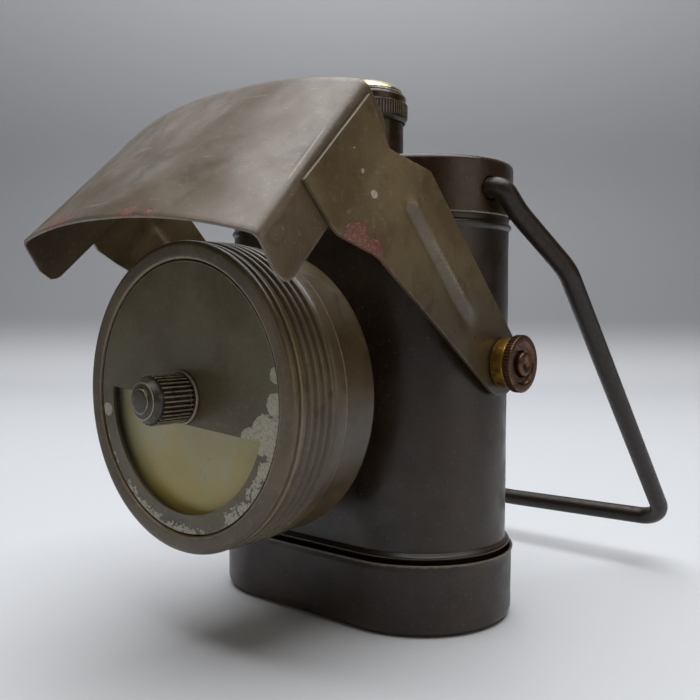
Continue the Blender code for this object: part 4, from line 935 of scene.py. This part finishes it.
HOOD_HALF_WIDTH = 45.5
HOOD_LENGTH = 51.0
HOOD_FLANGE = 14.5
HOOD_FRONT = Vector((-89.8, 31.5))
HOOD_TWIST = 1.2
HOOD_RISE = 5.8
HOOD_SLOPE = 45.0
FRONT_LEAN, REAR_LEAN = 123.0, 132.0
FOLD_DEPTH = 3.0
FLANGE_CORNER = 5.0


def half_section():
    """From the middle of the arch to the right flange's lower edge, as (x, height)."""
    def arch(x):
        return HOOD_RISE * (1 - (x / HOOD_HALF_WIDTH) ** 2.3)
    points = [(42.4 * i / 22, arch(42.4 * i / 22)) for i in range(23)]
    start, corner = Vector(points[-1]), Vector((HOOD_HALF_WIDTH, 0.15))
    end = Vector((HOOD_HALF_WIDTH, -FOLD_DEPTH))
    for step in range(1, 9):
        t = step / 8
        points.append(tuple(start * (1 - t) ** 2 + corner * 2 * t * (1 - t) + end * t * t))
    flat = HOOD_FLANGE - FOLD_DEPTH
    points += [(HOOD_HALF_WIDTH, -FOLD_DEPTH - flat * i / 10) for i in range(1, 11)]
    return points


def sheet_to_solid(bm, wall, toward):
    """Gives an open sheet a wall on the side that faces a point, and rounds its rim."""
    bmesh.ops.recalc_face_normals(bm, faces=bm.faces)
    lean = sum((Vector(toward) - f.calc_center_median()).dot(f.normal) for f in bm.faces)
    if lean > 0:
        bmesh.ops.reverse_faces(bm, faces=bm.faces)
    bmesh.ops.solidify(bm, geom=bm.faces[:], thickness=wall)
    bm.normal_update()
    sharp = [e for e in bm.edges if len(e.link_faces) == 2
             and abs(e.calc_face_angle_signed(0.0)) > math.radians(55)]
    bmesh.ops.bevel(bm, geom=sharp, offset=0.16, segments=2, profile=0.5, affect="EDGES",
                    clamp_overlap=True)
    bmesh.ops.recalc_face_normals(bm, faces=bm.faces)


def build_hood():
    """The hood as a grid of points, each between a front and a rear section."""
    half = half_section()
    section = [(-x, h) for x, h in reversed(half[1:])] + half
    along, square = slope(HOOD_SLOPE), slope(HOOD_SLOPE + 90)
    rows = 34
    flat = HOOD_FLANGE - FOLD_DEPTH
    bm = bmesh.new()
    grid = []
    for i in range(rows + 1):
        t = i / rows
        into_corner = FLANGE_CORNER - min(min(t, 1 - t) * HOOD_LENGTH, FLANGE_CORNER)
        cut = FLANGE_CORNER - math.sqrt(max(FLANGE_CORNER ** 2 - into_corner ** 2, 0.0))
        row = []
        for x, height in section:
            low = height
            if height < -FOLD_DEPTH:
                low = -FOLD_DEPTH + (height + FOLD_DEPTH) * (flat - cut) / flat
            ends = []
            for distance, edge_deg, twist in ((0.0, FRONT_LEAN, -HOOD_TWIST),
                                              (HOOD_LENGTH, REAR_LEAN, HOOD_TWIST)):
                raised = low + twist * x / HOOD_HALF_WIDTH
                ends.append(HOOD_FRONT + along * distance + slope(edge_deg) * raised)
            place = ends[0].lerp(ends[1], t)
            dent = 0.0
            if height > 0.4:
                dent = (noise.noise(Vector((x / 19, t * 2.6, 3.1))) - 0.4) * 0.8 * min(height, 1.0)
                dent *= min(1.0, 5 * t, 5 * (1 - t)) + 0.15
            place = place + square * dent
            row.append(bm.verts.new((x, place.x, place.y + PIVOT_LEVEL)))
        grid.append(row)
    for lower, upper in zip(grid, grid[1:]):
        for j in range(len(section) - 1):
            bm.faces.new((lower[j], lower[j + 1], upper[j + 1], upper[j]))
    sheet_to_solid(bm, SHEET, (0, 0, PIVOT_LEVEL))
    layer = mark_wear(bm, 24.0)
    for vert in bm.verts:
        if abs(vert.co.x) > 43.2 and vert[layer] < 0.5:
            fold = 1.0 - min(abs(abs(vert.co.x) - 44.9) / 1.6, 1.0)
            vert[layer] = max(vert[layer], 0.42 * fold)
    return finish(bm, "hood_sheet", "visor", HOOD_PAINT, ["hood"], 45.0)


hood = build_hood()
print("hood:", len(hood.data.polygons), "faces")

# %% [markdown]
# ## Hood arms
# Each arm is a flat plate that laps the hood's flange, steps outwards over two bends, and tapers to
# a round end on the pivot. A long rib is pressed into the leg to stiffen it. The outline is filled,
# then cut into a fine grid, and each point is pushed out by two rules: how far it lies along the
# step, and how far it lies from the rib's middle line.

# %% Arm outline
def rounded_corner(before, corner, after, radius, steps=4):
    """The points that round one corner of an outline with an arc."""
    corner, before, after = Vector(corner), Vector(before), Vector(after)
    to_before, to_after = (before - corner).normalized(), (after - corner).normalized()
    half_angle = to_before.angle(to_after) / 2
    centre = corner + (to_before + to_after).normalized() * radius / math.sin(half_angle)
    start = corner + to_before * radius / math.tan(half_angle) - centre
    end = corner + to_after * radius / math.tan(half_angle) - centre
    first = start.normalized()
    second = (end - first * end.dot(first)).normalized()
    points = []
    for step in range(steps + 1):
        turn = start.angle(end) * step / steps
        points.append(tuple(centre + (first * math.cos(turn) + second * math.sin(turn)) * radius))
    return points


ARM_END_RADIUS = 9.3


def arm_outline():
    """The arm seen from the side, as (Y, Z) from the pivot."""
    along, rear_edge = slope(HOOD_SLOPE), slope(REAR_LEAN)
    lap = HOOD_FRONT + along * 17.5 - rear_edge * 1.6
    rear_top = HOOD_FRONT + along * (HOOD_LENGTH - 2.4) - rear_edge * 1.4
    rear_low = rear_top - slope(FRONT_LEAN) * 14.0
    bend_top, bend_low = Vector((-34.5, 48.8)), Vector((-54.0, 26.4))
    front_low = lap + Vector((10.6, -11.2))
    outline = [tuple(lap), tuple(rear_top)]
    outline += rounded_corner(rear_top, rear_low, bend_top, 2.5, 6)
    outline += rounded_corner(rear_low, bend_top, (0, ARM_END_RADIUS), 2.0, 6)
    upper = math.degrees(math.atan2(bend_top.y, bend_top.x))
    lower = math.degrees(math.atan2(bend_low.y, bend_low.x))
    upper -= math.degrees(math.acos(ARM_END_RADIUS / bend_top.length))
    lower += math.degrees(math.acos(ARM_END_RADIUS / bend_low.length)) - 360
    outline += [tuple(slope(upper + (lower - upper) * i / 30) * ARM_END_RADIUS) for i in range(31)]
    outline += rounded_corner((-10, 0), bend_low, front_low, 6.0, 6)
    return outline + [tuple(front_low)]


# %% Arm plates
RIB_START, RIB_END = Vector((-42.5, 40.5)), Vector((-15.0, 11.5))
RIB_HEIGHT = 1.05
ARM_OUT = 50.0
STEP_START, STEP_LENGTH, STEP_DEPTH = 59.5, 11.5, 3.2
ARM_SHEET = 0.98


def smooth_share(value, low, high):
    """0 below low, 1 above high, and a soft passage between them."""
    t = min(max((value - low) / (high - low), 0.0), 1.0)
    return t * t * (3 - 2 * t)


def rib_share(point):
    """A sharp crest that runs out towards the rear, with a shallow valley in front of it."""
    line = (RIB_END - RIB_START).normalized()
    across = Vector((-line.y, line.x))
    along, aside = (point - RIB_START).dot(line), (point - RIB_START).dot(across)
    length = (RIB_END - RIB_START).length
    ends = smooth_share(along, -2.5, 1.2) * smooth_share(length - along, -2.0, 7.0)
    valley = 0.75 * smooth_share(aside, -5.0, -2.0) * (1.0 - smooth_share(aside, -2.0, 0.0))
    crest = smooth_share(aside, -2.0, 0.5) * (1.0 - smooth_share(aside, 1.0, 7.5))
    return ends * (crest - valley)


def build_arm_plate(side, sign):
    """One arm, cut into a fine grid and pushed out along its step and its rib."""
    outline = arm_outline()
    bm = bmesh.new()
    bm.faces.new([bm.verts.new((0, y, z)) for y, z in outline])
    low_y, high_y = min(p[0] for p in outline), max(p[0] for p in outline)
    low_z, high_z = min(p[1] for p in outline), max(p[1] for p in outline)
    for axis, low, high in ((1, low_y, high_y), (2, low_z, high_z)):
        cuts = int((high - low) / 1.05)
        normal = [0, 0, 0]
        normal[axis] = 1
        for i in range(1, cuts):
            place = [0, 0, 0]
            place[axis] = low + (high - low) * i / cuts
            bmesh.ops.bisect_plane(bm, geom=bm.verts[:] + bm.edges[:] + bm.faces[:],
                                   plane_co=place, plane_no=normal)
    bmesh.ops.remove_doubles(bm, verts=bm.verts, dist=1e-4)
    normal = slope(HOOD_SLOPE + 90)
    for vert in bm.verts:
        point = Vector((vert.co.y, vert.co.z))
        share = min(max((point.dot(normal) - STEP_START) / STEP_LENGTH, 0.0), 1.0)
        share = share * 0.75 + 0.25 * share * share * (3 - 2 * share)
        out = ARM_OUT - STEP_DEPTH * share + RIB_HEIGHT * rib_share(point)
        if share > 0.95:
            out -= 0.12 * (noise.noise(Vector((point.x / 8, point.y / 8, 0.5))) + 0.3)
        vert.co.x = sign * out
        vert.co.z += PIVOT_LEVEL
    sheet_to_solid(bm, ARM_SHEET, (0, -40, 100))
    mark_wear(bm, 24.0)
    obj = finish(bm, f"arm_{side}", "visor", ARM_LIT_PAINT, [f"hood_arm_{side}"], 42.0)
    carve(obj, rod_tool((sign * 46, 0, PIVOT_LEVEL), (sign * 53, 0, PIVOT_LEVEL), 3.7))
    return dress(obj, "visor", ARM_LIT_PAINT, sharp_deg=42.0)


for side, sign in SIDES:
    plate = build_arm_plate(side, sign)
    print("arm", side + ":", len(plate.data.polygons), "faces")

# %% [markdown]
# ## Pivots
# On each side a pad, a stud, a brass collar and a knurled thumb nut stack up outwards. The nut's
# face is a raised rim round a shallow recess, with the stud's dimpled end in the middle.

# %% Pivot stacks
for side, sign in SIDES:
    place = sideways(sign)
    turned(f"pad_{side}", "lamp_body", BODY_BROWN_AND_SHADE, "paint", f"stud_pad_{side}",
           [(3.7, 47.8), (7.0, 47.8), (7.0, 48.7), (3.7, 48.7)], place, 64, 0.2)
    turned(f"stud_{side}", "lamp_body", BRONZE, "steel", f"pivot_stud_{side}",
           [(0, 44.6), (5.0, 44.6), (5.0, 45.8), (3.3, 45.8), (3.3, 57.4), (2.7, 57.9),
            (1.5, 57.8), (0.9, 57.35), (0, 57.2)], place, 64, 0.2, closed=False)
    turned(f"collar_{side}", f"collar_{side}", BRASS, "brass", f"pivot_collar_{side}",
           [(3.7, 50.3), (7.0, 50.3), (7.0, 54.3), (3.7, 54.3)], place, 72)
    turned(f"nut_{side}", f"nut_{side}", BRONZE, "bronze", f"thumb_nut_{side}",
           [(3.7, 54.6), (7.4, 54.6), (7.75, 54.85), (7.75, 56.75), (7.5, 57.0), (5.9, 57.0),
            (5.4, 56.3), (3.7, 56.3)], place, 96, 0.2)
    tooth_ring(f"nut_knurl_{side}", f"nut_{side}", BRONZE, 56, 7.7, 0.25, 1.9, 0.28,
               side_place(sign, 55.8))

# %% [markdown]
# ## Bail
# The bail is one round rod: hooked into the cap, cranked outwards past the thumb nuts, then down
# both sides to a cross bar. A curve with a round bevel gives an even rod all along its path. It is
# drawn a hair thinner than the frame's faceted rod, so that it stays inside the frame's box.

# %% Bail
HANDLE_LENGTH = 144.0
HANDLE_REST_DEG = -48.0
GRIP_SAG = 1.5
ROD_SHRINK = 0.06


def bail_route():
    """The rod's middle line as (x, y, z)."""
    hole_x, arm_x = 48.4, 61.5
    start, elbow = Vector((hole_x - 4.5, 0.0)), Vector((hole_x + 3.6, 0.0))
    knee = Vector((hole_x + 5.2, 9.0))
    crank, corner = Vector((arm_x, 30.0)), Vector((arm_x, HANDLE_LENGTH))
    grip = Vector((0.0, HANDLE_LENGTH))
    half = [tuple(start)]
    half += rounded_corner(start, elbow, knee, 3.0, 10)
    half += rounded_corner(elbow, knee, crank, 25.0, 6)
    half += rounded_corner(knee, crank, corner, 18.0, 10)
    half += rounded_corner(crank, corner, grip, 9.0, 18)
    last = half[-1]
    half += [(last[0] * (1 - s), HANDLE_LENGTH + GRIP_SAG * s) for s in (0.35, 0.7)]
    half.append((0.0, HANDLE_LENGTH + GRIP_SAG))
    full = half + [(-x, along) for x, along in reversed(half[:-1])]
    down = slope(HANDLE_REST_DEG)
    return [(x, down.x * along - HANDLE_FORWARD, down.y * along + HANDLE_LEVEL)
            for x, along in full]


def build_bail():
    """The rod, from a curve with a round bevel made into a mesh."""
    points = bail_route()
    curve = bpy.data.curves.new("bail", "CURVE")
    curve.dimensions = "3D"
    curve.bevel_depth = (HANDLE_ROD / 2 - ROD_SHRINK) * MM
    curve.bevel_resolution = 8
    curve.use_fill_caps = True
    line = curve.splines.new("POLY")
    line.points.add(len(points) - 1)
    for point, (x, y, z) in zip(line.points, points):
        point.co = (x * MM, y * MM, z * MM, 1.0)
    maker = placed("bail_maker", curve)
    mesh = evaluated(maker)
    bpy.data.objects.remove(maker)
    return dress(placed("bail", mesh), "handle", ROD_STEEL, ["bail_handle"], 50.0)


bail = build_bail()
print("bail:", len(bail.data.polygons), "faces")

# %% [markdown]
# ## The pieces inside
# They show only when the lamp is opened, so they keep the frame's shapes and get the finish of
# what they are made of: dull zinc, brass, felt, rubber and fired steatite.

# %% Finish the frame's own pieces
INSIDE = {
    "base_gasket": RUBBER, "carbide_pot": ZINC, "carbide_grid": ZINC, "felt_filter": FELT,
    "grid_spring": PLAIN_STEEL, "tank_lid": ZINC, "tank_floor": ZINC, "drip_tube": BRASS,
    "spindle_guide": BRASS, "gas_pipe": BRASS, "burner_holder": BRASS, "burner_tip": STEATITE,
    "reflector": NICKEL, "valve_spindle": BRASS, "glass_seal_front": RUBBER,
    "glass_seal_rear": RUBBER, "shutter_spindle": PLAIN_STEEL,
}
for node_name, mat in INSIDE.items():
    mesh = frame["nodes"][node_name].data
    mesh.materials.clear()
    mesh.materials.append(mat)
shown = [name for name, obj in frame["nodes"].items() if not obj.hide_render]
print("frame pieces still shown:", sorted(shown))
